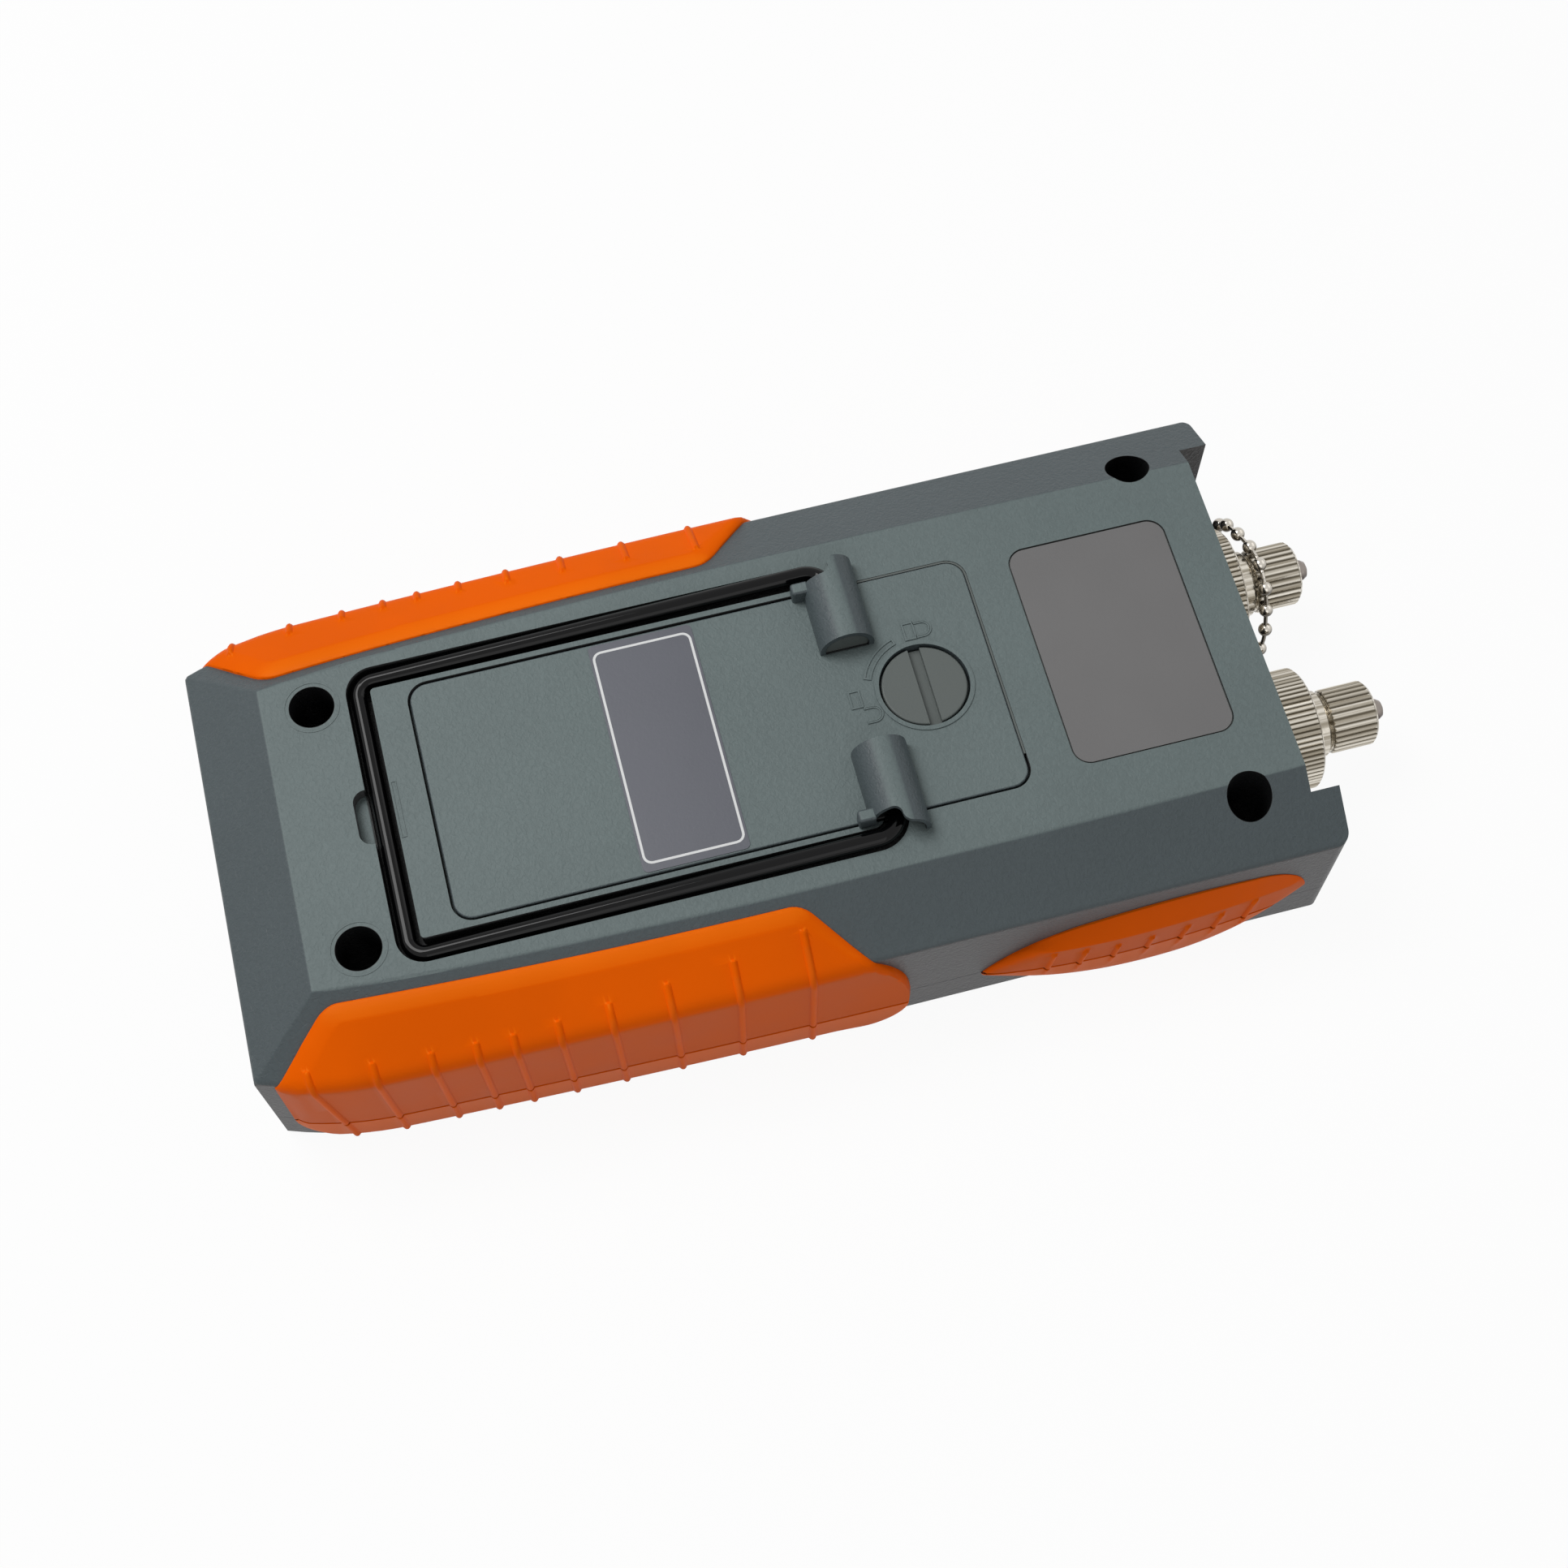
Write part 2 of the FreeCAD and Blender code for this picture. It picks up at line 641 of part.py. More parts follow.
def anchors():
    heads = []
    for x in (-2.6, -28.2):
        t0 = wall_t
        t1 = wall_t + anchor_thick
        heads.append(turned(x, anchor_z, ((0, t0), (anchor_r, t0), (anchor_r, t0 + 0.8),
                                          (anchor_r * 0.75, t1), (0, t1))))
    return Part.makeCompound(heads)


# Inside and front pieces.
def cell(x):
    z = bay_floor + cell_r + 0.15
    t1 = cell_t + cell_long
    return turned(x, z, ((0, cell_t), (cell_r - 0.6, cell_t), (cell_r, cell_t + 0.6), (cell_r, t1 - 0.6),
                         (cell_r - 0.6, t1), (nub_r, t1), (nub_r, t1 + nub_long), (0, t1 + nub_long)))


def leaf_springs():
    z0 = bay_floor + 3.0
    z1 = bay_floor + 11.6
    t0 = bay_t0 + 0.05
    leaves = []
    for x in (cell_x, -cell_x):
        corners = [pt(x - 4, t0, z0), pt(x - 4, t0 + 0.4, z0), pt(x - 4, t0 + 0.4, z1 - 0.4),
                   pt(x - 4, cell_t - 0.5, z0 + 4.4), pt(x - 4, cell_t - 0.1, z0 + 4.6),
                   pt(x - 4, t0 + 0.4, z1), pt(x - 4, t0, z1)]
        leaves.append(Part.Face(Part.makePolygon(corners + corners[:1])).extrude(V(8, 0, 0)))
    return Part.makeCompound(leaves)


def contact_plates():
    z = bay_floor + cell_r + 0.15
    t0 = cell_t + cell_long + nub_long + 0.1
    plates = []
    for x in (cell_x, -cell_x):
        plate = tablet(x - 5, x + 5, t0, t0 + 0.5, z - 5, z + 5, 0.2)
        plates.append(plate.fuse(box(x - 2, x + 2, t0 + 0.5, bay_t1 - 0.05, z - 5, z - 4.5)))
    return Part.makeCompound(plates)


def main_board():
    solid = tablet(-board_half, board_half, board_t0, board_t1, board_z, board_z + board_thick, 3.0)
    cuts = []
    for s in (1, -1):
        cuts.append(rod(s * bores[0][0], bores[0][1], 0, 20, 3.8))
        for x, t in posts:
            cuts.append(rod(s * x, t, 0, 20, 1.2))
    return solid.cut(cuts)


def power_jack():
    x0 = -ridge_plan[2][0]
    solid = cross(jack_t, jack_z, x0, x0 + wall + 0.6, jack_r)
    solid = solid.fuse(box(x0 + wall + 0.1, x0 + 13, jack_t - 4.5, jack_t + 4.5, jack_z - 5, jack_z + 4.5))
    solid = solid.cut(cross(jack_t, jack_z, x0 - 1, x0 + 9, 2.75))
    return solid.fuse(cross(jack_t, jack_z, x0 + 0.8, x0 + 9.5, 1.0)).removeSplitter()


def screw(x, t, head_z, head_r, head_tall, tip_z, shank_r):
    head = rod(x, t, head_z, head_z + head_tall, head_r)
    slot = box(x - head_r, x + head_r, t - 0.3, t + 0.3, head_z + head_tall - 0.7, head_z + head_tall + 1)
    other = box(x - 0.3, x + 0.3, t - head_r, t + head_r, head_z + head_tall - 0.7, head_z + head_tall + 1)
    return head.cut([slot, other]).fuse(rod(x, t, tip_z, head_z, shank_r))


def screws(places, head_z, head_r, head_tall, tip_z, shank_r):
    return Part.makeCompound([screw(s * x, t, head_z, head_r, head_tall, tip_z, shank_r)
                              for x, t in places for s in (1, -1)])


def front_overlay():
    e = 0.25
    solid = tablet(-panel_half + e, panel_half - e, panel_t0 + e, panel_t1 - e,
                   rim_deep - film, rim_deep, panel_round - e)
    cuts = [tablet(-window_half, window_half, window_t0, window_t1, 0, rim_deep + 1, 2.0)]
    g = key_gap
    for x, t in key_places():
        cuts.append(tablet(x - key_half - g, x + key_half + g, t - key_tall - g, t + key_tall + g,
                           0, rim_deep + 1, 2.0 + g))
    return solid.cut(cuts)


def key(x, t):
    cap_part = tablet(x - key_half, x + key_half, t - key_tall, t + key_tall, key_top, face_in + 0.5, 2.0)
    rim = [e for e in cap_part.Edges if max(v.Z for v in e.Vertexes) < key_top + 0.01]
    cap_part = cap_part.makeFillet(0.35, rim)
    flange = tablet(x - key_half - 0.9, x + key_half + 0.9, t - key_tall - 0.9, t + key_tall + 0.9,
                    face_in + 0.1, face_in + 0.9, 2.4)
    return cap_part.fuse(flange).removeSplitter()


os.makedirs("parts", exist_ok=True)
save("rear_housing", rear_housing())
save("front_housing", front_housing())
halves("long_grip", long_grip())
halves("upper_grip", upper_grip())
save("housing_screws", screws(bores, bore_floor, 2.9, 2.2, 4.4, 1.2))
save("name_plate", tablet(-plate_half + 0.25, plate_half - 0.25, plate_t0 + 0.25, plate_t1 - 0.25,
                          thick - plate_deep, thick - 0.1, 2.75))
save("battery_cover", battery_cover())
save("lock_knob", lock_knob())
save("lock_cam", lock_cam())
bail_start = ring_wire(pt(pin_x, hinge_t, hinge_z), V(1, 0, 0), wire_r)
save("bail_stand", tilted(sweep(bail_path(), bail_start)))
save("source_adapter", adapter(port_x, source_front))
save("meter_adapter", adapter(-port_x, meter_front))
save("source_cap", cap(port_x, source_front))
save("meter_cap", cap(-port_x, meter_front))
save("source_cap_rivet", cap_rivet(port_x, source_front))
save("meter_cap_rivet", cap_rivet(-port_x, meter_front))
save("source_boss", boss(port_x))
save("meter_boss", boss(-port_x))
save("laser_module", module(port_x, 20))
save("detector_module", module(-port_x, 14))
save("alignment_sleeve", sleeve())
save("chain_anchors", anchors())
tube = chain()
print("chain volume", round(tube.Volume, 1))
save("cap_chain", tube)
save("battery_left", cell(cell_x))
save("battery_right", cell(-cell_x))
save("battery_springs", leaf_springs())
save("battery_contacts", contact_plates())
save("main_board", main_board())
save("board_screws", screws(posts, board_z + board_thick, 1.8, 1.2, face_in + 0.6, 0.95))
save("keypad_mat", tablet(-24, 24, 24.5, 87, face_in + 2.1, board_z - 0.1, 2.0))
save("display_module", tablet(-28, 28, 94.5, 150, face_in + 0.4, board_z - 0.1, 1.0))
save("display_window", tablet(-window_half + 0.15, window_half - 0.15, window_t0 + 0.15, window_t1 - 0.15,
                              rim_deep - film, face_in + 0.3, 1.85))
save("front_overlay", front_overlay())
save("power_jack", power_jack())
key_names = ("power", "light", "unit", "reference", "meter_wave", "source_wave", "mode", "save")
for name, place in zip(key_names, key_places()):
    save("key_" + name, key(*place))
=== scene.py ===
import json
import math
import bpy
import bmesh
from mathutils import Matrix, Vector
from mathutils.kdtree import KDTree


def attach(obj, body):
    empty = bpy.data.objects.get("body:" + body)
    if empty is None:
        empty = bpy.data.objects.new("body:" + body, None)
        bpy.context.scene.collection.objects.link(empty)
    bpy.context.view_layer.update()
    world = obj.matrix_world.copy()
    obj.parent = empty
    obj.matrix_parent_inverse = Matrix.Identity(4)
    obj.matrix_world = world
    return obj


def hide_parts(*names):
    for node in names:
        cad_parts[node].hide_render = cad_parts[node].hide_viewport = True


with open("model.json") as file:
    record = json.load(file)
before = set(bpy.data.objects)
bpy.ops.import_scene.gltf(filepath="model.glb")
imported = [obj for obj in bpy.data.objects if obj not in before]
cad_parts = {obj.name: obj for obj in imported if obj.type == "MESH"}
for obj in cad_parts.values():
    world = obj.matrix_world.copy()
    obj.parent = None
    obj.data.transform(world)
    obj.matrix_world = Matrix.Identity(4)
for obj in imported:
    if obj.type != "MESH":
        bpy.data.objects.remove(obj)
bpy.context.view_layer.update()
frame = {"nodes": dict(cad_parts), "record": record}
nodes = frame["nodes"]
mm = 0.001  # places and sizes below are in mm, the scene is in metres
tailY = -95.7  # y of the tail edge


def at(x, t, z):  # t is the distance from the tail
    return Vector((x, tailY + t, z)) * mm


# Camera
cameraSpec = {"place": (157.769, -40.429, 365.221), "turn": (24.376, 0.673, 75.5075), "focal": 53.70,
              "sensor": 36.0, "nearest": 10.0}
cameraData = bpy.data.cameras.new("camera")
cameraData.sensor_width = cameraSpec["sensor"]
cameraData.lens = cameraSpec["focal"]
cameraData.clip_start = cameraSpec["nearest"] * mm
camera = bpy.data.objects.new("camera", cameraData)
camera.location = Vector(cameraSpec["place"]) * mm
camera.rotation_euler = [math.radians(a) for a in cameraSpec["turn"]]
bpy.context.scene.collection.objects.link(camera)
bpy.context.scene.camera = camera
print("camera set")


# Pieces
cornerSteps = 6  # of a rounded plate


def addPiece(name, bm, body, material, sharp):  # edges that turn by more than sharp stay hard
    mesh = bpy.data.meshes.new(name)
    bm.normal_update()
    bm.to_mesh(mesh)
    bm.free()
    mesh.shade_smooth()
    mesh.set_sharp_from_angle(angle=math.radians(sharp))
    piece = bpy.data.objects.new(name, mesh)
    bpy.context.scene.collection.objects.link(piece)
    mesh.materials.append(material)
    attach(piece, body)
    return piece


def faceUp(bm, points):
    face = bm.faces.new([bm.verts.new(p) for p in points])
    face.normal_update()
    if face.normal.z < 0:
        face.normal_flip()
    return face


def widestFace(bm):
    return max(bm.faces, key=lambda f: f.calc_area())


def roundCorners(bm, corners, reach, steps):
    bmesh.ops.bevel(bm, geom=corners, offset=reach, offset_type="OFFSET", affect="VERTICES", segments=steps,
                    profile=0.5, material=-1)


def insetFace(bm, face, wide):
    bmesh.ops.inset_region(bm, faces=[face], thickness=wide, use_boundary=True, use_even_offset=True)


def raiseFaces(bm, faces, height):
    made = bmesh.ops.extrude_face_region(bm, geom=faces)
    raised = [g for g in made["geom"] if isinstance(g, bmesh.types.BMVert)]
    bmesh.ops.translate(bm, vec=(0, 0, height * mm), verts=raised)


def roundedPlate(bm, half, t0, t1, z, corner):
    made = bmesh.ops.create_grid(bm, x_segments=1, y_segments=1, size=0.5)
    size = Matrix.Diagonal((2 * half * mm, (t1 - t0) * mm, 1.0, 1.0))
    place = Matrix.Translation(at(0, (t0 + t1) / 2, z))
    bmesh.ops.transform(bm, matrix=place @ size, verts=made["verts"])
    roundCorners(bm, made["verts"], corner * mm, cornerSteps)
    return widestFace(bm)


def roundedFrame(bm, half, t0, t1, z, corner, wide):
    face = roundedPlate(bm, half, t0, t1, z, corner)
    insetFace(bm, face, wide * mm)
    bmesh.ops.delete(bm, geom=[face], context="FACES_ONLY")


# Node helpers
def feed(tree, socket, value):  # links a socket or sets a plain value
    if isinstance(value, bpy.types.NodeSocket):
        tree.links.new(value, socket)
    else:
        socket.default_value = value


def addNode(tree, kind, settings=None, **sockets):  # i0, i1 and so on are sockets by number
    made = tree.nodes.new("ShaderNode" + kind)
    for key, value in (settings or {}).items():
        setattr(made, key, value)
    for key, value in sockets.items():
        numbered = key[0] == "i" and key[1:].isdigit()
        feed(tree, made.inputs[int(key[1:]) if numbered else key], value)
    return made


def sums(tree, operation, a, b=0.0):
    return addNode(tree, "Math", {"operation": operation}, i0=a, i1=b).outputs[0]


def product(tree, first, *others):
    for other in others:
        first = sums(tree, "MULTIPLY", first, other)
    return first


def largest(tree, first, *others):
    for other in others:
        first = sums(tree, "MAXIMUM", first, other)
    return first


def apart(tree, value, place):  # how far a coordinate in m is from a place in mm
    return sums(tree, "SUBTRACT", value, place * mm)


def distance(tree, a, b):
    return sums(tree, "SQRT", sums(tree, "ADD", product(tree, a, a), product(tree, b, b)))


def newGroup(name, inputs, outputs):
    group = bpy.data.node_groups.new(name, "ShaderNodeTree")
    for label, kind in inputs:
        group.interface.new_socket(name=label, in_out="INPUT", socket_type="NodeSocket" + kind)
    for label, kind in outputs:
        group.interface.new_socket(name=label, in_out="OUTPUT", socket_type="NodeSocket" + kind)
    return group, group.nodes.new("NodeGroupInput"), group.nodes.new("NodeGroupOutput")


def useGroup(tree, group, **sockets):
    return addNode(tree, "Group", {"node_tree": group}, **sockets).outputs


def mixColour(tree, factor, a, b):
    return addNode(tree, "Mix", {"data_type": "RGBA"}, i0=factor, i6=a, i7=b).outputs[2]


def ramp(tree, value, low, high, fromLow=0.0, toHigh=1.0):
    made = addNode(tree, "MapRange", {"interpolation_type": "SMOOTHSTEP"}, i0=value, i1=low, i2=high,
                   i3=fromLow, i4=toHigh)
    return made.outputs[0]


def rampMm(tree, value, low, high):  # between two places in mm
    return ramp(tree, value, low * mm, high * mm)


def splitVector(tree, vector):
    return addNode(tree, "SeparateXYZ", None, Vector=vector).outputs


def newMaterial(name):
    material = bpy.data.materials.new(name)
    material.use_nodes = True
    tree = material.node_tree
    return material, tree, tree.nodes["Principled BSDF"]


def setShader(tree, shader, values):
    for key, value in values.items():
        feed(tree, shader.inputs[key], value)


def addBump(tree, shader, height, strength, depth):  # depth in mm
    bump = addNode(tree, "Bump", None, Height=height, Strength=strength, Distance=depth * mm)
    tree.links.new(bump.outputs["Normal"], shader.inputs["Normal"])


def rgb(r, g, b):
    def flat(c):  # from the sRGB curve
        c = c / 255
        return c / 12.92 if c <= 0.04045 else ((c + 0.055) / 1.055) ** 2.4
    return (flat(r), flat(g), flat(b), 1.0)


def scaled(colour, share):
    return tuple(min(1, c * share) for c in colour[:3]) + (1.0,)


# Sizes that both the looks and the grips use
casePlan = {"ridge": ((35.6, 0.0), (39.4, 19.0), (40.6, 100.0)),  # half width and t of the wall's plan
            "flat": ((26.1, 12.0), (27.85, 35.0), (29.15, 100.0)),  # and of the flat back's
            "ridgeZ": 26.0, "flatZ": 33.0, "fold": 1.9, "split": -17.5}  # split: parting line, from the ridge
partingZ = casePlan["ridgeZ"] + casePlan["split"]
longGripSpec = {"lift": 1.25, "edge": 2.9, "lowEdge": 1.0, "chamfer": 0.45, "sink": 0.5, "fold": None,
                "rings": (0.05, 0.15, 0.35, 0.6, 0.7, 0.6, 0.45, 0.25),
                "ribs": ((10.3, -0.105, 2.6), (18.75, -0.028, 2.75), (27.3, -0.015, 2.4),
                         (33.95, -0.003, 2.4), (39.65, 0.0, 2.4), (46.65, -0.003, 2.9),
                         (54.75, -0.003, 3.85), (64.0, -0.003, 4.75), (74.1, 0.02, 5.85),
                         (85.6, 0.018, 7.9)),  # place on the parting line, lean, upper end
                "ribHalf": 0.65, "ribLift": 0.5, "ribLow": -30.0,
                "blunt": (13.2, 12.2, 2.6),  # corner to round, and how far
                "crown": (50.0, 100.0, 100.0, 0.0),  # highest place, two runs, loss at the ends
                "draft": (44.0, 0.0125),  # turns the wall about this place, by this much
                "square": (86.0, 96.0, 0.45)}  # the edge gets narrower from here to there
upperGripSpec = {"lift": 2.55, "edge": 2.4, "lowEdge": 1.2, "chamfer": 0.0, "sink": 0.4, "fold": -10.6,
                 "rings": (0.05, 0.15, 0.3, 0.4),
                 "ribs": ((124.6, 0.12, -11.5), (129.95, 0.13, -12.5), (135.6, 0.106, -13.2),
                          (141.35, 0.102, -13.4), (147.15, 0.16, -13.0), (152.85, 0.133, -12.3),
                          (158.2, 0.136, -10.7)),
                 "ribHalf": 0.6, "ribLift": 0.45, "ribLow": -20.2,
                 "blunt": (113.7, -18.2, 1.0), "crown": (137.0, 23.5, 31.0, 0.8), "draft": (0.0, 0.0),
                 "square": (200.0, 210.0, 2.4)}

# Shared effects
grainSpec = {"fineDetail": 2.0, "bend": 0.8, "broad": 45.0, "broadDetail": 3.0, "span": (0.3, 0.7)}
# recessSpec: where painted shade goes in the groove of the wire, the bores and under the clip arches
recessSpec = {"half": 26.1, "t": (25.5, 127.4), "soft": 0.3, "top": 32.8, "under": 32.1,
              "bay": (20.75, 35.1), "baySoft": 0.2,
              "bores": ((21.07, 20.0), (30.9, 158.95)), "boreRadius": 3.63, "boreSoft": 0.04,
              "boreFrom": (9.0, 9.5), "hinge": (104.9, 33.8), "arch": (3.7, 3.6), "archFrom": (9.0, 9.4)}
ribHighlightSpec = {"across": (0.65, 0.3), "topSoft": 0.2, "lowSoft": 0.6,
                "slope": 0.52}  # rise of a rib that goes on over the ridge


def makeGrain():  # fine grain of a mould, and broad changes of tone
    group, given, out = newGroup("mouldGrain", (("Place", "Vector"), ("Size", "Float")),
                                 (("Height", "Float"), ("Tone", "Float")))
    place = given.outputs["Place"]
    fine = addNode(group, "TexNoise", None, Vector=place, Scale=given.outputs["Size"],
                   Detail=grainSpec["fineDetail"], Distortion=grainSpec["bend"])
    broad = addNode(group, "TexNoise", None, Vector=place, Scale=grainSpec["broad"],
                    Detail=grainSpec["broadDetail"])
    group.links.new(fine.outputs["Fac"], out.inputs["Height"])
    group.links.new(broad.outputs["Fac"], out.inputs["Tone"])
    return group


def byGrain(tree, grain, low, high):
    return ramp(tree, grain, *grainSpec["span"], low, high)


def makeRecessShade():  # painted shade in grooves, bores and under the clips
    group, given, out = newGroup("recessShade", (("Place", "Vector"), ("Arch", "Float")),
                                 (("Mask", "Float"),))
    parts = splitVector(group, given.outputs["Place"])
    side = sums(group, "ABSOLUTE", parts["X"])
    y, z = parts["Y"], parts["Z"]
    half, soft = recessSpec["half"], recessSpec["soft"]
    y0, y1 = (tailY + t for t in recessSpec["t"])
    deep = product(group, rampMm(group, z, recessSpec["top"], recessSpec["under"]),
                   rampMm(group, side, half + soft, half),
                   rampMm(group, y, y0 - soft, y0), rampMm(group, y, y1 + soft, y1))
    bayHalf, bayT = recessSpec["bay"]
    baySoft = recessSpec["baySoft"]
    clear = largest(group, rampMm(group, side, bayHalf, bayHalf + baySoft),
                    rampMm(group, y, tailY + bayT, tailY + bayT - baySoft))  # not inside the battery bay
    mask = product(group, deep, clear)
    shell = rampMm(group, z, *recessSpec["boreFrom"])
    radius = recessSpec["boreRadius"]
    for x, t in recessSpec["bores"]:
        away = distance(group, apart(group, side, x), apart(group, y, tailY + t))
        inside = rampMm(group, away, radius + recessSpec["boreSoft"], radius)
        mask = largest(group, mask, product(group, inside, shell))
    hingeT, hingeZ = recessSpec["hinge"]
    away = distance(group, apart(group, y, tailY + hingeT), apart(group, z, hingeZ))
    under = product(group, rampMm(group, away, *recessSpec["arch"]),
                    rampMm(group, side, *recessSpec["archFrom"]))
    mask = largest(group, mask, product(group, under, given.outputs["Arch"]))
    group.links.new(mask, out.inputs["Mask"])
    return group


def makeRibHighlight():  # where the ribs of the grips are, for their painted highlight
    group, given, out = newGroup("ribHighlight", (("Place", "Vector"),), (("Mask", "Float"),))
    parts = splitVector(group, given.outputs["Place"])
    topSoft, lowSoft = ribHighlightSpec["topSoft"], ribHighlightSpec["lowSoft"]
    mask = 0.0
    for spec in (longGripSpec, upperGripSpec):
        bottom = casePlan["ridgeZ"] + spec["ribLow"]
        for t, lean, end in spec["ribs"]:
            middle = addNode(group, "Math", {"operation": "MULTIPLY_ADD"}, i0=parts["Z"], i1=lean,
                             i2=(tailY + t - lean * partingZ) * mm).outputs[0]
            gap = sums(group, "ABSOLUTE", sums(group, "SUBTRACT", parts["Y"], middle))
            top = casePlan["ridgeZ"] + end * (ribHighlightSpec["slope"] if end > 0 else 1.0)
            band = product(group, rampMm(group, parts["Z"], top + topSoft, top - topSoft),
                           rampMm(group, parts["Z"], bottom, bottom + lowSoft),
                           rampMm(group, gap, *ribHighlightSpec["across"]))
            mask = largest(group, mask, band)
    group.links.new(mask, out.inputs["Mask"])
    return group


grainGroup = makeGrain()
recessGroup = makeRecessShade()
ribHighlightGroup = makeRibHighlight()

# Looks
plasticSpec = {"spread": 0.05, "coatRough": 0.2}
# slope and wall are the flat colour with painted shade; dark is the colour of painted shade in recesses and
# of the dark parting seam
casingSpec = {"flat": rgb(103, 115, 115), "slope": rgb(75, 84, 87), "wall": rgb(75, 75, 76),
              "dark": rgb(12, 13, 14), "flatUp": (0.90, 0.99), "wallUp": (0.5, 0.15), "grain": 1500.0,
              "speck": (0.95, 1.04), "broad": (0.97, 1.03), "seam": (0.22, 0.12), "rough": (0.44, 0.56),
              "bump": (0.9, 0.15), "shine": 0.3}
# side is the top colour with painted shade, edge and rib are painted highlights, low is painted bounce light
# from the floor; dark is the parting seam
rubberSpec = {"top": rgb(244, 99, 0), "edge": rgb(248, 112, 10), "side": rgb(216, 98, 38),
              "low": rgb(236, 120, 66), "rib": rgb(238, 102, 14), "dark": rgb(84, 30, 10),
              "topUp": (0.02, 0.3), "edgeUp": (0.90, 0.985), "seamUp": (0.95, 0.85), "lowSoft": 0.1,
              "ribHighlightShare": 0.75, "seam": (0.3, 0.18), "grain": 1800.0, "broad": (0.96, 1.04),
              "rough": (0.4, 0.5), "bump": (0.4, 0.03), "shine": 0.03}
# underUp: where the painted shade on the lower and side faces of metal fades in
metalSpec = {"grain": 900.0, "wearAndDarkReflection": 0.86, "underUp": (0.15, 0.85), "rough": (0.8, 1.25), "bump": (0.5, 0.01)}
# tone and the darker streak colour make painted reflection streaks; film is the colour of painted shade in
# the knurl grooves
nickelSpec = {"tone": rgb(220, 214, 202), "wearAndDarkReflection": rgb(154, 146, 131), "film": rgb(94, 87, 74),
              "rough": (0.15, 0.26), "x": 14.2, "z": 13.0,  # axis of a port
              "knurls": ((9.93, 10.25), (5.11, 5.43)),  # radii at the foot and the top of the knurls
              "grooveShadeFrom": (-0.05, -0.02), "grooveShadeTo": (0.6, 0.1), "streaks": 5.0, "streakDetail": 3.0,
              "streak": (0.36, 0.64), "grain": 1500.0, "bump": (0.5, 0.01)}
windowSpec = {"tone": rgb(225, 232, 230), "clear": 0.9, "index": 1.49, "grain": 300.0, "rough": (0.03, 0.08)}


def plastic(name, colour, rough, grainSize, grainDepth, vary=0.06, coat=0.0, shine=0.5):  # depth in mm
    material, tree, shader = newMaterial(name)
    grain = useGroup(tree, grainGroup, Place=addNode(tree, "TexCoord").outputs["Object"], Size=grainSize)
    spread = plasticSpec["spread"]
    setShader(tree, shader, {
        "Base Color": mixColour(tree, grain["Tone"], scaled(colour, 1 - vary), scaled(colour, 1 + vary)),
        "Roughness": byGrain(tree, grain["Tone"], rough - spread, rough + spread),
        "Specular IOR Level": shine, "Coat Weight": coat, "Coat Roughness": plasticSpec["coatRough"]})
    addBump(tree, shader, grain["Height"], 1.0, grainDepth)
    return material


def partingSeam(tree, height, wide):
    return rampMm(tree, sums(tree, "ABSOLUTE", apart(tree, height, partingZ)), *wide)


def casingPlastic(name, wallTone, arch):  # slopes and walls are painted darker than the flats as painted shade; recesses get painted shade and the parting seam a dark line
    material, tree, shader = newMaterial(name)
    coords = addNode(tree, "TexCoord").outputs
    place = coords["Object"]
    up = splitVector(tree, coords["Normal"])["Z"]
    grain = useGroup(tree, grainGroup, Place=place, Size=casingSpec["grain"])
    isFlat = ramp(tree, up, *casingSpec["flatUp"])
    isWall = ramp(tree, up, *casingSpec["wallUp"])
    tone = mixColour(tree, isWall, mixColour(tree, isFlat, casingSpec["slope"], casingSpec["flat"]), wallTone)
    gain = product(tree, byGrain(tree, grain["Height"], *casingSpec["speck"]),
                   byGrain(tree, grain["Tone"], *casingSpec["broad"]))
    tone = addNode(tree, "HueSaturation", None, Color=tone, Value=gain).outputs["Color"]
    seam = product(tree, partingSeam(tree, splitVector(tree, place)["Z"], casingSpec["seam"]), isWall)
    # painted shade in recesses, together with the dark parting seam
    dark = largest(tree, useGroup(tree, recessGroup, Place=place, Arch=arch)["Mask"], seam)
    setShader(tree, shader, {
        "Base Color": mixColour(tree, dark, tone, casingSpec["dark"]),
        "Roughness": ramp(tree, up, *casingSpec["flatUp"], *casingSpec["rough"]),
        "Specular IOR Level": casingSpec["shine"]})
    addBump(tree, shader, grain["Height"], *casingSpec["bump"])
    return material


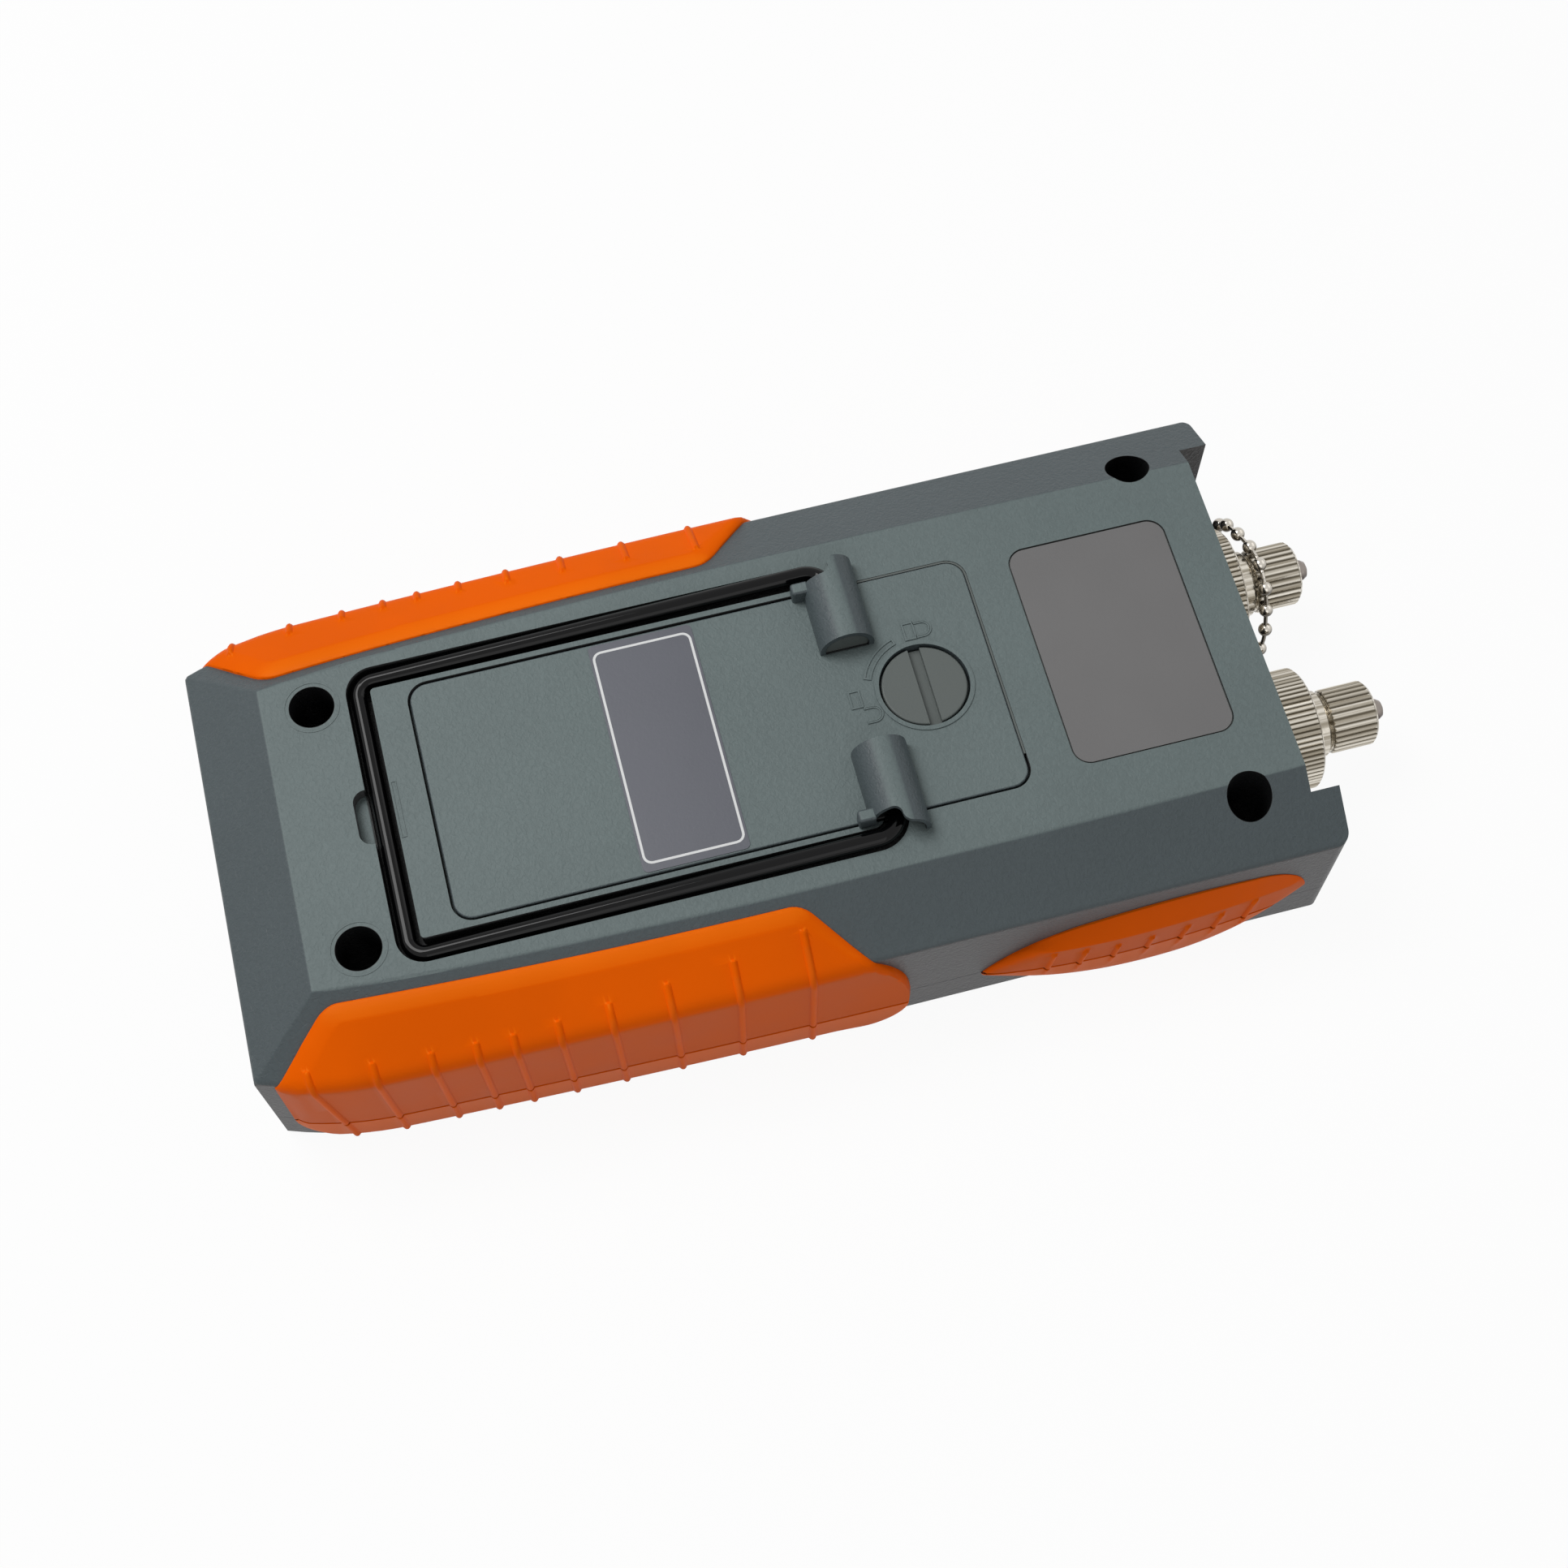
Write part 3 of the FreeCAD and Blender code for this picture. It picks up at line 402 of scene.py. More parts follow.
def gripRubber(name):  # sides painted darker as painted shade, upper edges and ribs lighter as painted highlights, the part below the parting line lighter as painted bounce light from the floor, and a dark parting seam
    material, tree, shader = newMaterial(name)
    coords = addNode(tree, "TexCoord").outputs
    place = coords["Object"]
    up = splitVector(tree, coords["Normal"])["Z"]
    height = splitVector(tree, place)["Z"]
    grain = useGroup(tree, grainGroup, Place=place, Size=rubberSpec["grain"])
    isLow = rampMm(tree, height, partingZ + rubberSpec["lowSoft"], partingZ - rubberSpec["lowSoft"])
    tone = mixColour(tree, isLow, rubberSpec["side"], rubberSpec["low"])
    tone = mixColour(tree, ramp(tree, up, *rubberSpec["topUp"]), tone, rubberSpec["top"])
    tone = mixColour(tree, ramp(tree, up, *rubberSpec["edgeUp"]), tone, rubberSpec["edge"])
    rib = useGroup(tree, ribHighlightGroup, Place=place)["Mask"]
    tone = mixColour(tree, product(tree, rib, rubberSpec["ribHighlightShare"]), tone, rubberSpec["rib"])
    seam = product(tree, partingSeam(tree, height, rubberSpec["seam"]), ramp(tree, up, *rubberSpec["seamUp"]))
    tone = mixColour(tree, seam, tone, rubberSpec["dark"])
    gain = byGrain(tree, grain["Tone"], *rubberSpec["broad"])
    setShader(tree, shader, {
        "Base Color": addNode(tree, "HueSaturation", None, Color=tone, Value=gain).outputs["Color"],
        "Roughness": byGrain(tree, grain["Tone"], *rubberSpec["rough"]),
        "Specular IOR Level": rubberSpec["shine"]})
    addBump(tree, shader, grain["Height"], *rubberSpec["bump"])
    return material


def metal(name, colour, rough, under=None):  # under: colour of painted shade and darker painted reflection on the faces below and at the sides
    material, tree, shader = newMaterial(name)
    coords = addNode(tree, "TexCoord").outputs
    grain = useGroup(tree, grainGroup, Place=coords["Object"], Size=metalSpec["grain"])
    tone = mixColour(tree, grain["Tone"], scaled(colour, metalSpec["wearAndDarkReflection"]), colour)
    if under:
        up = splitVector(tree, coords["Normal"])["Z"]
        tone = mixColour(tree, ramp(tree, up, *metalSpec["underUp"]), under, tone)
    low, high = metalSpec["rough"]
    setShader(tree, shader, {"Base Color": tone, "Metallic": 1.0,
                             "Roughness": byGrain(tree, grain["Height"], rough * low, rough * high)})
    addBump(tree, shader, grain["Height"], *metalSpec["bump"])
    return material


def knurledNickel(name):  # painted shade in the grooves of the knurls, and painted reflection in streaks that run out from the axis
    material, tree, shader = newMaterial(name)
    place = addNode(tree, "TexCoord").outputs["Object"]
    parts = splitVector(tree, place)
    across = apart(tree, sums(tree, "ABSOLUTE", parts["X"]), nickelSpec["x"])
    above = apart(tree, parts["Z"], nickelSpec["z"])
    away = distance(tree, across, above)
    mask = 0.0
    for low, high in nickelSpec["knurls"]:
        grooveShadeFrom = [low + k for k in nickelSpec["grooveShadeFrom"]]
        grooveShadeTo = [low + k * (high - low) for k in nickelSpec["grooveShadeTo"]]
        mask = largest(tree, mask, product(tree, rampMm(tree, away, *grooveShadeFrom), rampMm(tree, away, *grooveShadeTo)))
    turn = product(tree, sums(tree, "ARCTAN2", above, across), nickelSpec["streaks"])
    streak = addNode(tree, "TexNoise", {"noise_dimensions": "1D"}, W=turn, Scale=1.0,
                     Detail=nickelSpec["streakDetail"]).outputs["Fac"]
    tone = mixColour(tree, ramp(tree, streak, *nickelSpec["streak"]), nickelSpec["wearAndDarkReflection"], nickelSpec["tone"])
    grain = useGroup(tree, grainGroup, Place=place, Size=nickelSpec["grain"])
    setShader(tree, shader, {"Base Color": mixColour(tree, mask, tone, nickelSpec["film"]), "Metallic": 1.0,
                             "Roughness": byGrain(tree, grain["Height"], *nickelSpec["rough"])})
    addBump(tree, shader, grain["Height"], *nickelSpec["bump"])
    return material


def windowGlass(name):
    material, tree, shader = newMaterial(name)
    place = addNode(tree, "TexCoord").outputs["Object"]
    grain = useGroup(tree, grainGroup, Place=place, Size=windowSpec["grain"])
    setShader(tree, shader, {"Base Color": windowSpec["tone"], "Transmission Weight": windowSpec["clear"],
                             "IOR": windowSpec["index"],
                             "Roughness": byGrain(tree, grain["Tone"], *windowSpec["rough"])})
    return material


looks = {
    # housing and cover carry painted shade on slopes, walls and recesses; only the cover has it under its
    # clip arches
    "housing": casingPlastic("housing", casingSpec["wall"], 0.0),
    "cover": casingPlastic("cover", casingSpec["slope"], 1.0),
    "knob": plastic("knob", rgb(94, 100, 98), 0.5, 2200.0, 0.02, vary=0.04, shine=0.3),
    "grip": gripRubber("grip"),
    "wire": plastic("wire", rgb(4, 4, 5), 0.05, 900.0, 0.001, vary=0.1, shine=0.2),
    "plate": plastic("plate", rgb(108, 107, 107), 0.42, 2200.0, 0.02),
    "label": plastic("label", rgb(85, 87, 96), 0.38, 1800.0, 0.01, vary=0.08),
    "labelPrint": plastic("labelPrint", rgb(225, 226, 226), 0.5, 1500.0, 0.01, vary=0.04),
    "screw": metal("screw", rgb(110, 110, 110), 0.4),
    "nickel": knurledNickel("nickel"),
    # chain and rivets are darker below and at the sides as painted shade
    "chain": metal("chain", rgb(206, 200, 190), 0.14, under=rgb(96, 91, 84)),
    "rivet": metal("rivet", rgb(150, 142, 136), 0.25, under=rgb(88, 81, 78)),
    "film": plastic("film", rgb(60, 66, 70), 0.35, 1500.0, 0.01),
    "window": windowGlass("window"),
    "display": plastic("display", rgb(150, 165, 150), 0.4, 1200.0, 0.01),
    "key": plastic("key", rgb(140, 146, 150), 0.6, 1800.0, 0.03),
    "mat": plastic("mat", rgb(150, 152, 152), 0.7, 1500.0, 0.03),
    "board": plastic("board", rgb(24, 92, 56), 0.35, 700.0, 0.04, vary=0.25, coat=0.4),
    "cell": plastic("cell", rgb(44, 46, 52), 0.3, 900.0, 0.01, vary=0.1, coat=0.5),
    "contact": metal("contact", rgb(205, 200, 185), 0.32),
    "socket": plastic("socket", rgb(26, 27, 29), 0.5, 1500.0, 0.03),
    "module": metal("module", rgb(190, 190, 188), 0.35),
}
slotOf = {p["node"]: p["material_slot"] for p in frame["record"]["subparts"]}
for nodeName, node in nodes.items():
    for materialSlot in node.material_slots:
        materialSlot.material = looks["rivet" if nodeName.endswith("_cap_rivet") else slotOf[nodeName]]
print("materials set")

# Grips, drawn flat as (t, height along the skin above the ridge), then laid on the casing
gripOutlines = {
    "longShoulder": ((40.4, 95.4), (37.7, 92.9), (35.0, 90.5), ((32.3, 88.1), (31.15, 86.4), (30.8, 84.3), 8),
                     ((30.8, 84.3), (30.15, 50.0), (28.3, 13.2), 40), (28.3, 13.2), (32.4, 8.65)),  # x and t
    "longWall": ((2.9, 25.0), ((2.6, 8.0), (4.2, 3.6), (8.0, 1.2), 8), (8.0, 1.2), (50.0, 1.2),
                 ((95.0, 1.2), (100.2, 4.0), (102.0, 9.5), 10),
                 ((102.0, 9.5), (100.2, 19.0), (95.4, 26.0), 16)),  # t and z
    "upperWall": (((113.7, 7.8), (121.0, 15.3), (132.8, 19.5), 14),
                  ((132.8, 19.5), (147.0, 20.9), (158.3, 20.6), 14),
                  ((158.3, 20.6), (165.6, 17.8), (168.4, 12.5), 14),
                  ((168.4, 12.5), (158.5, 3.9), (146.0, 0.9), 14),
                  ((146.0, 0.9), (130.0, 2.55), (113.7, 7.8), 14))}
gripShape = {"edgeRun": 8.0,  # the lower edge changes to the upper one over this height
             "foot": 0.14, "draftEdge": 0.5, "ribTop": 0.3, "ribFoot": 0.6, "ribEdge": 0.9,
             "groove": (0.15, 0.4, 0.6)}  # half width, depth and run-in of the parting groove
gripMesh = {"cornerSteps": 5, "merge": 0.1, "borderStep": 0.12, "columns": 48, "ribClear": 1.2,
            "flanks": (-1.0, -0.62, -0.25, 0.25, 0.62, 1.0), "row": 1.8, "rows": (-14, 8), "halfBend": 30.3,
            "splitClear": 0.5, "splitRows": (-0.32, -0.13, 0.13, 0.32), "foldClear": 0.6,
            "foldRows": (-0.3, 0.0, 0.3), "ribEnd": 2.5, "snap": 0.0005, "sharp": 50}


def halfWidth(plan, t):
    corner, knee, wide = plan
    if t >= wide[1]:
        return wide[0]
    rise, run = wide[0] - knee[0], wide[1] - knee[1]
    radius = (run * run + rise * rise) / (2 * rise)
    if t >= knee[1]:
        return wide[0] - radius + math.sqrt(radius ** 2 - (wide[1] - t) ** 2)
    lean = run / math.sqrt(radius ** 2 - run ** 2)  # second arc leaves the knee along the first
    dx, dt = knee[0] - corner[0], knee[1] - corner[1]
    size = math.sqrt(1 + lean * lean)
    radius = (dx * dx + dt * dt) * size / (2 * (dx - dt * lean))
    return knee[0] - radius / size + math.sqrt(radius ** 2 - (t - knee[1] - radius * lean / size) ** 2)


def onCase(t, p, w):  # flat place and lift to a place on the casing
    xr, xf = halfWidth(casePlan["ridge"], t), halfWidth(casePlan["flat"], t)
    turn = math.atan2(xr - xf, casePlan["flatZ"] - casePlan["ridgeZ"])
    fold = casePlan["fold"]
    reach = fold * math.tan(turn / 2)
    if p >= reach:
        angle, x, z = turn, xr - p * math.sin(turn), casePlan["ridgeZ"] + p * math.cos(turn)
    elif p <= -reach:
        angle, x, z = 0.0, xr, casePlan["ridgeZ"] + p
    else:
        angle = turn * (p + reach) / (2 * reach)
        x = xr - fold + fold * math.cos(angle)
        z = casePlan["ridgeZ"] - reach + fold * math.sin(angle)
    return at(x + w * math.cos(angle), t, z + w * math.sin(angle))


def arcThrough(a, m, b, steps):  # points of a circle from a through m, without b
    d = 2 * (a[0] * (m[1] - b[1]) + m[0] * (b[1] - a[1]) + b[0] * (a[1] - m[1]))
    sa, sm, sb = (q[0] ** 2 + q[1] ** 2 for q in (a, m, b))
    cx = (sa * (m[1] - b[1]) + sm * (b[1] - a[1]) + sb * (a[1] - m[1])) / d
    cy = (sa * (b[0] - m[0]) + sm * (a[0] - b[0]) + sb * (m[0] - a[0])) / d
    radius = math.hypot(a[0] - cx, a[1] - cy)
    start = math.atan2(a[1] - cy, a[0] - cx)
    through = (math.atan2(m[1] - cy, m[0] - cx) - start) % math.tau
    end = (math.atan2(b[1] - cy, b[0] - cx) - start) % math.tau
    end = end if through < end else end - math.tau
    return [(cx + radius * math.cos(start + end * k / steps), cy + radius * math.sin(start + end * k / steps))
            for k in range(steps)]


def drawn(stretches):  # each is a point, or an arc as three points and its steps
    points = []
    for stretch in stretches:
        points += [stretch] if len(stretch) == 2 else arcThrough(*stretch)
    return points


def onShoulder(point):  # plan place to flat place
    x, t = point
    xr, xf = halfWidth(casePlan["ridge"], t), halfWidth(casePlan["flat"], t)
    return t, (xr - x) * math.hypot(xr - xf, casePlan["flatZ"] - casePlan["ridgeZ"]) / (xr - xf)


def onWall(point):  # side place to flat place
    return point[0], point[1] - casePlan["ridgeZ"]


def longOutline():
    return ([onShoulder(q) for q in drawn(gripOutlines["longShoulder"])]
            + [onWall(q) for q in drawn(gripOutlines["longWall"])])


def upperOutline():
    return [onWall(q) for q in drawn(gripOutlines["upperWall"])][::-1]


def clamp(value):
    return min(1.0, max(0.0, value))


def gripHeight(spec, t, p, d, top):  # lift of a flat place that is d inside the outline and below top
    above = p - casePlan["split"]
    edge = spec["lowEdge"] + (spec["edge"] - spec["lowEdge"]) * clamp(above / gripShape["edgeRun"] + 0.5)
    squareFrom, squareTo, squareEdge = spec["square"]
    edge += (squareEdge - edge) * clamp((t - squareFrom) / (squareTo - squareFrom))
    share = min(1.0, d / edge)
    dome = math.sqrt(1 - (1 - share) ** 2)
    rise = spec["chamfer"] * share + (1 - spec["chamfer"]) * dome
    if spec["fold"] and p > spec["fold"]:
        rise = min(rise, max(0.0, (top - p) / (top - spec["fold"])))
    middle, tailRun, endRun, loss = spec["crown"]
    lift = spec["lift"] * (1 - loss * ((t - middle) / (tailRun if t < middle else endRun)) ** 2)
    w = lift * (gripShape["foot"] + (1 - gripShape["foot"]) * rise)
    evenT, draft = spec["draft"]
    w += draft * (t - evenT) * clamp(p / casePlan["split"]) * min(1.0, d / gripShape["draftEdge"])
    gap, end = min((abs(t - r - lean * above), end) for r, lean, end in spec["ribs"])
    if gap < spec["ribHalf"]:
        ends = min(clamp((end - p) / gripShape["ribTop"]), clamp((p - spec["ribLow"]) / gripShape["ribFoot"]))
        edges = min(1.0, d / gripShape["ribEdge"])
        w += spec["ribLift"] * edges * ends * (1 - (gap / spec["ribHalf"]) ** 2)
    grooveHalf, grooveDepth, grooveRun = gripShape["groove"]
    if abs(above) < grooveHalf:
        w -= grooveDepth * min(1.0, d / grooveRun)
    return w


def topOf(loop, t):
    pairs = zip(loop, loop[1:] + loop[:1])
    ends = [(a, b) for a, b in pairs if min(a.x, b.x) <= t <= max(a.x, b.x) and a.x != b.x]
    return max([a.y + (b.y - a.y) * (t - a.x) / (b.x - a.x) for a, b in ends], default=0.0)


def borderTree(loop):  # finds the nearest place on the outline
    step = gripMesh["borderStep"]
    pieces = [(a, b, max(1, int((b - a).length / step))) for a, b in zip(loop, loop[1:] + loop[:1])]
    border = KDTree(sum(n for a, b, n in pieces))
    for a, b, n in pieces:
        for k in range(n):
            border.insert(a.lerp(b, k / n), 0)
    border.balance()
    return border


def withLine(rows, line, clear, offsets):  # cuts beside a line take the place of those near it
    return [p for p in rows if abs(p - line) > clear] + [line + k for k in offsets]


def gripPlanes(outline, spec):  # cuts beside the ribs, across the grip and along it
    along, across = zip(*outline)
    first, last = min(along), max(along)
    lineP = casePlan["split"]
    flanks = [k * spec["ribHalf"] for k in gripMesh["flanks"]]
    planes = [((r + k, lineP, 0), (1, -lean, 0)) for r, lean, end in spec["ribs"] for k in flanks]
    columns = gripMesh["columns"]
    for t in (first + k * (last - first) / columns for k in range(1, columns)):
        if min(abs(t - rib[0]) for rib in spec["ribs"]) > gripMesh["ribClear"]:
            planes.append(((t, 0, 0), (1, 0, 0)))
    reach = casePlan["fold"] * math.tan(math.radians(gripMesh["halfBend"]))
    rows = [k * gripMesh["row"] for k in range(*gripMesh["rows"]) if k]
    rows += [k * reach / 2 for k in range(-2, 3)]
    rows = withLine(rows, lineP, gripMesh["splitClear"], gripMesh["splitRows"])
    if spec["fold"]:
        rows = withLine(rows, spec["fold"], gripMesh["foldClear"], gripMesh["foldRows"])
    return planes + [((0, p, 0), (0, 1, 0)) for p in rows if min(across) < p < max(across)]


def cutFlat(bm, faces, place, normal):
    parts = set(faces)
    for f in faces:
        parts.update(f.edges)
        parts.update(f.verts)
    bmesh.ops.bisect_plane(bm, geom=list(parts), dist=gripMesh["snap"], plane_co=place, plane_no=normal)


def cutRibEnds(bm, spec):
    for r, lean, end in spec["ribs"]:
        middle = r + lean * (end - casePlan["split"])
        for p in (end, end - gripShape["ribTop"]):
            centres = [(f, f.calc_center_median()) for f in bm.faces]
            near = [f for f, c in centres
                    if abs(c.x - middle) < spec["ribHalf"] and abs(c.y - end) < gripMesh["ribEnd"]]
            cutFlat(bm, near, (0, p, 0), (0, 1, 0))


def closeBelow(bm, sink):
    made = bmesh.ops.extrude_edge_only(bm, edges=[e for e in bm.edges if e.is_boundary])
    for v in made["geom"]:
        if isinstance(v, bmesh.types.BMVert):
            v.co.z = -sink
    bmesh.ops.holes_fill(bm, edges=[e for e in bm.edges if e.is_boundary], sides=0)


def makeGrip(name, outline, spec, side, *covers):
    bm = bmesh.new()
    faceUp(bm, [(t, p, 0.0) for t, p in outline])
    bluntT, bluntP, bluntReach = spec["blunt"]
    corner = min(bm.verts, key=lambda v: (v.co.x - bluntT) ** 2 + (v.co.y - bluntP) ** 2)
    roundCorners(bm, [corner], bluntReach, gripMesh["cornerSteps"])
    bmesh.ops.remove_doubles(bm, verts=bm.verts[:], dist=gripMesh["merge"])
    face = widestFace(bm)
    loop = [v.co.copy() for v in face.verts]
    for step in spec["rings"]:
        insetFace(bm, face, step)
    for place, normal in gripPlanes(outline, spec):
        cutFlat(bm, bm.faces[:], place, normal)
    cutRibEnds(bm, spec)
    border = borderTree(loop)
    for v in bm.verts:
        v.co.z = gripHeight(spec, v.co.x, v.co.y, border.find(v.co)[2], topOf(loop, v.co.x))
    closeBelow(bm, spec["sink"])
    for v in bm.verts:
        v.co = onCase(*v.co)
    if side < 0:
        bmesh.ops.scale(bm, vec=(-1, 1, 1), verts=bm.verts[:])
        bmesh.ops.reverse_faces(bm, faces=bm.faces[:])
    piece = addPiece(name, bm, "casing", looks["grip"], gripMesh["sharp"])
    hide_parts(*covers)


gripKinds = (("long", longOutline(), longGripSpec), ("upper", upperOutline(), upperGripSpec))
for sideName, side in (("left", 1), ("right", -1)):
    for kind, outline, spec in gripKinds:
        grip = sideName + "_" + kind + "_grip"
        makeGrip(grip, outline, spec, side, grip + "_rear", grip + "_front")
print("grips made")

# Bare label of the cover, with its printed frame
trimSharp = 30  # for all that is flat and thin
labelSpec = {"half": 20.2, "t": (64.6, 81.6), "corner": 0.9, "thick": 0.12, "sunk": 0.05, "top": 33.0,
             "frameHalf": 18.96, "frameT": (65.0, 81.2), "frameWide": 0.4, "frameCorner": 1.5,
             "frameSunk": 0.02, "frameThick": 0.04}


def makeLabel():
    bm = bmesh.new()
    face = roundedPlate(bm, labelSpec["half"], *labelSpec["t"], labelSpec["top"] - labelSpec["sunk"],
                        labelSpec["corner"])
    raiseFaces(bm, [face], labelSpec["sunk"] + labelSpec["thick"])
    addPiece("cover_label", bm, "battery_cover", looks["label"], trimSharp)
    bm = bmesh.new()
    z = labelSpec["top"] + labelSpec["thick"] - labelSpec["frameSunk"]
    roundedFrame(bm, labelSpec["frameHalf"], *labelSpec["frameT"], z, labelSpec["frameCorner"],
                 labelSpec["frameWide"])
    raiseFaces(bm, bm.faces[:], labelSpec["frameThick"])
    addPiece("label_frame", bm, "battery_cover", looks["labelPrint"], trimSharp)


makeLabel()
print("label made")

# Raised marks of the lock
markSpec = {"line": 0.3, "rise": 0.18, "sunk": 0.02, "top": 33.0, "body": (3.2, 2.0),
            "shackle": (1.55, 1.0, 1.3),  # outer and inner radius of the hoop, and the length of its legs
            "overlap": 0.1, "closed": (-9.87, 115.25), "open": (-0.2, 103.75), "openShift": 3.1,
            "arcRadii": (8.5, 9.75), "arcTurn": (197.0, 250.0), "knobT": 115.1, "hoopSteps": (16, 12),
            "arcSteps": 20}


def outlineMark(bm, points, line=markSpec["line"], rise=markSpec["rise"]):
    face = faceUp(bm, [at(x, t, markSpec["top"] - markSpec["sunk"]) for x, t in points])
    insetFace(bm, face, line * mm)
    around = {f for e in face.edges for f in e.link_faces if f != face}
    bmesh.ops.delete(bm, geom=[face], context="FACES_ONLY")
    raiseFaces(bm, list(around), markSpec["sunk"] + rise)


def turnPoints(x, t, radius, start, end, steps):
    turns = [math.radians(start + (end - start) * k / steps) for k in range(steps + 1)]
    return [(x + radius * math.cos(a), t + radius * math.sin(a)) for a in turns]


def boxPoints(x0, x1, t0, t1):
    return [(x0, t0), (x1, t0), (x1, t1), (x0, t1)]


def padlock(bm, x, t, shift):
    wide, tall = markSpec["body"]
    outer, inner, leg = markSpec["shackle"]
    outerSteps, innerSteps = markSpec["hoopSteps"]
    outlineMark(bm, boxPoints(x - wide / 2, x + wide / 2, t - tall / 2, t + tall / 2))
    middle, foot = x + shift, t + tall / 2 - markSpec["overlap"]
    hoop = [(middle + outer, foot)] + turnPoints(middle, foot + leg, outer, 0, 180, outerSteps)
    hoop += [(middle - outer, foot), (middle - inner, foot)]
    hoop += turnPoints(middle, foot + leg, inner, 180, 0, innerSteps) + [(middle + inner, foot)]
    outlineMark(bm, hoop)


def makeMarks():
    bm = bmesh.new()
    padlock(bm, *markSpec["closed"], 0.0)
    padlock(bm, *markSpec["open"], markSpec["openShift"])
    inner, outer = markSpec["arcRadii"]
    start, end = markSpec["arcTurn"]
    steps = markSpec["arcSteps"]
    outlineMark(bm, turnPoints(0, markSpec["knobT"], outer, start, end, steps)
                + turnPoints(0, markSpec["knobT"], inner, end, start, steps))
    addPiece("lock_marks", bm, "battery_cover", looks["cover"], trimSharp)


makeMarks()
print("lock marks made")

# Fine trim: what fills two seams, moulded lines of the back, and the inner ends of the clips
lipSpec = {"half": 20.95, "t": (35.0, 127.15), "corner": 3.35, "wide": 0.3, "top": 32.93, "fromT": 108.0,
           "toX": 15.5}
seatSpec = {"half": 19.86, "t": (134.24, 160.76), "corner": 2.96, "wide": 0.17, "top": 32.6}
seamDeep = 0.35
lineSpec = {"catch": (-5.0, 4.8, 29.72, 30.6), "catchLine": 0.14, "catchRise": 0.12, "ringRadii": (4.25, 4.5),
            "ringRise": 0.08, "ringSteps": 60}
plugSpec = {"x": 9.8, "radius": 3.5, "thick": 0.4, "low": 32.9, "segments": 48}


def seamRing(spec):
    bm = bmesh.new()
    roundedFrame(bm, spec["half"], *spec["t"], spec["top"] - seamDeep, spec["corner"], spec["wide"])
    return bm


def cutAway(bm, place, normal):
    bmesh.ops.bisect_plane(bm, geom=bm.verts[:] + bm.edges[:] + bm.faces[:], plane_co=place, plane_no=normal,
                           clear_inner=True)


def makeSeams():
    bm = seamRing(lipSpec)
    cutAway(bm, at(0, lipSpec["fromT"], 0), (0, 1, 0))
    cutAway(bm, at(lipSpec["toX"], 0, 0), (-1, 0, 0))
    raiseFaces(bm, bm.faces[:], seamDeep)
    addPiece("cover_lip", bm, "battery_cover", looks["knob"], trimSharp)
    bm = seamRing(seatSpec)
    raiseFaces(bm, bm.faces[:], seamDeep)
    addPiece("plate_seat", bm, "casing", looks["knob"], trimSharp)


def makeLines():  # outline of the catch, and rings around the bores at the tail
    bm = bmesh.new()
    outlineMark(bm, boxPoints(*lineSpec["catch"]), lineSpec["catchLine"], lineSpec["catchRise"])
    inner, outer = lineSpec["ringRadii"]
    steps = lineSpec["ringSteps"]
    boreX, boreT = recessSpec["bores"][0]
    for x in (boreX, -boreX):
        ring = turnPoints(x, boreT, outer, 0, 360, steps)[:-1]
        outlineMark(bm, ring, outer - inner, lineSpec["ringRise"])
    addPiece("back_lines", bm, "casing", looks["housing"], trimSharp)


def makePlugs():
    hingeT, hingeZ = recessSpec["hinge"]
    radius = plugSpec["radius"] * mm
    bm = bmesh.new()
    for x in (plugSpec["x"], -plugSpec["x"]):
        lie = Matrix.Translation(at(x, hingeT, hingeZ)) @ Matrix.Rotation(math.pi / 2, 4, "Y")
        bmesh.ops.create_cone(bm, cap_ends=True, segments=plugSpec["segments"], radius1=radius,
                              radius2=radius, depth=plugSpec["thick"] * mm, matrix=lie)
    cutAway(bm, at(0, 0, plugSpec["low"]), (0, 0, 1))
    bmesh.ops.holes_fill(bm, edges=[e for e in bm.edges if e.is_boundary], sides=0)
    addPiece("clip_plugs", bm, "battery_cover", looks["knob"], trimSharp)


makeSeams()
makeLines()
makePlugs()
print("trim made")

# Chain
chainSpec = {"bead": 1.2, "beadSteps": 3, "pitch": 4.15, "linkRadius": 0.36, "linksPerBead": 4,
             "linkSides": 10, "sharp": 60, "axis": (-14.2, 13.0), "wrap": 7.1, "wrapT": 178.25,
             "wrapTurns": (39.25, 73.75, 108.25), "anchorZ": 3.8, "near": ((-2.6, 170.25), (-3.1, 178.2)),
             "drop": (-27.1, 176.8, 14.4), "far": ((-28.2, 178.0), (-28.2, 170.25)), "order": 3, "steps": 24}


def chainRoute():  # from one rivet over the port to the other
    first, second = chainSpec["wrapTurns"][:2]
    reach = chainSpec["wrap"] / math.cos(math.radians((second - first) / 2))
    ax, az = chainSpec["axis"]
    turns = [math.radians(a) for a in chainSpec["wrapTurns"]]
    neck = [at(ax + reach * math.cos(a), chainSpec["wrapT"], az + reach * math.sin(a)) for a in turns]
    near = [at(x, t, chainSpec["anchorZ"]) for x, t in chainSpec["near"]]
    far = [at(*chainSpec["drop"])] + [at(x, t, chainSpec["anchorZ"]) for x, t in chainSpec["far"]]
    return near + neck + far


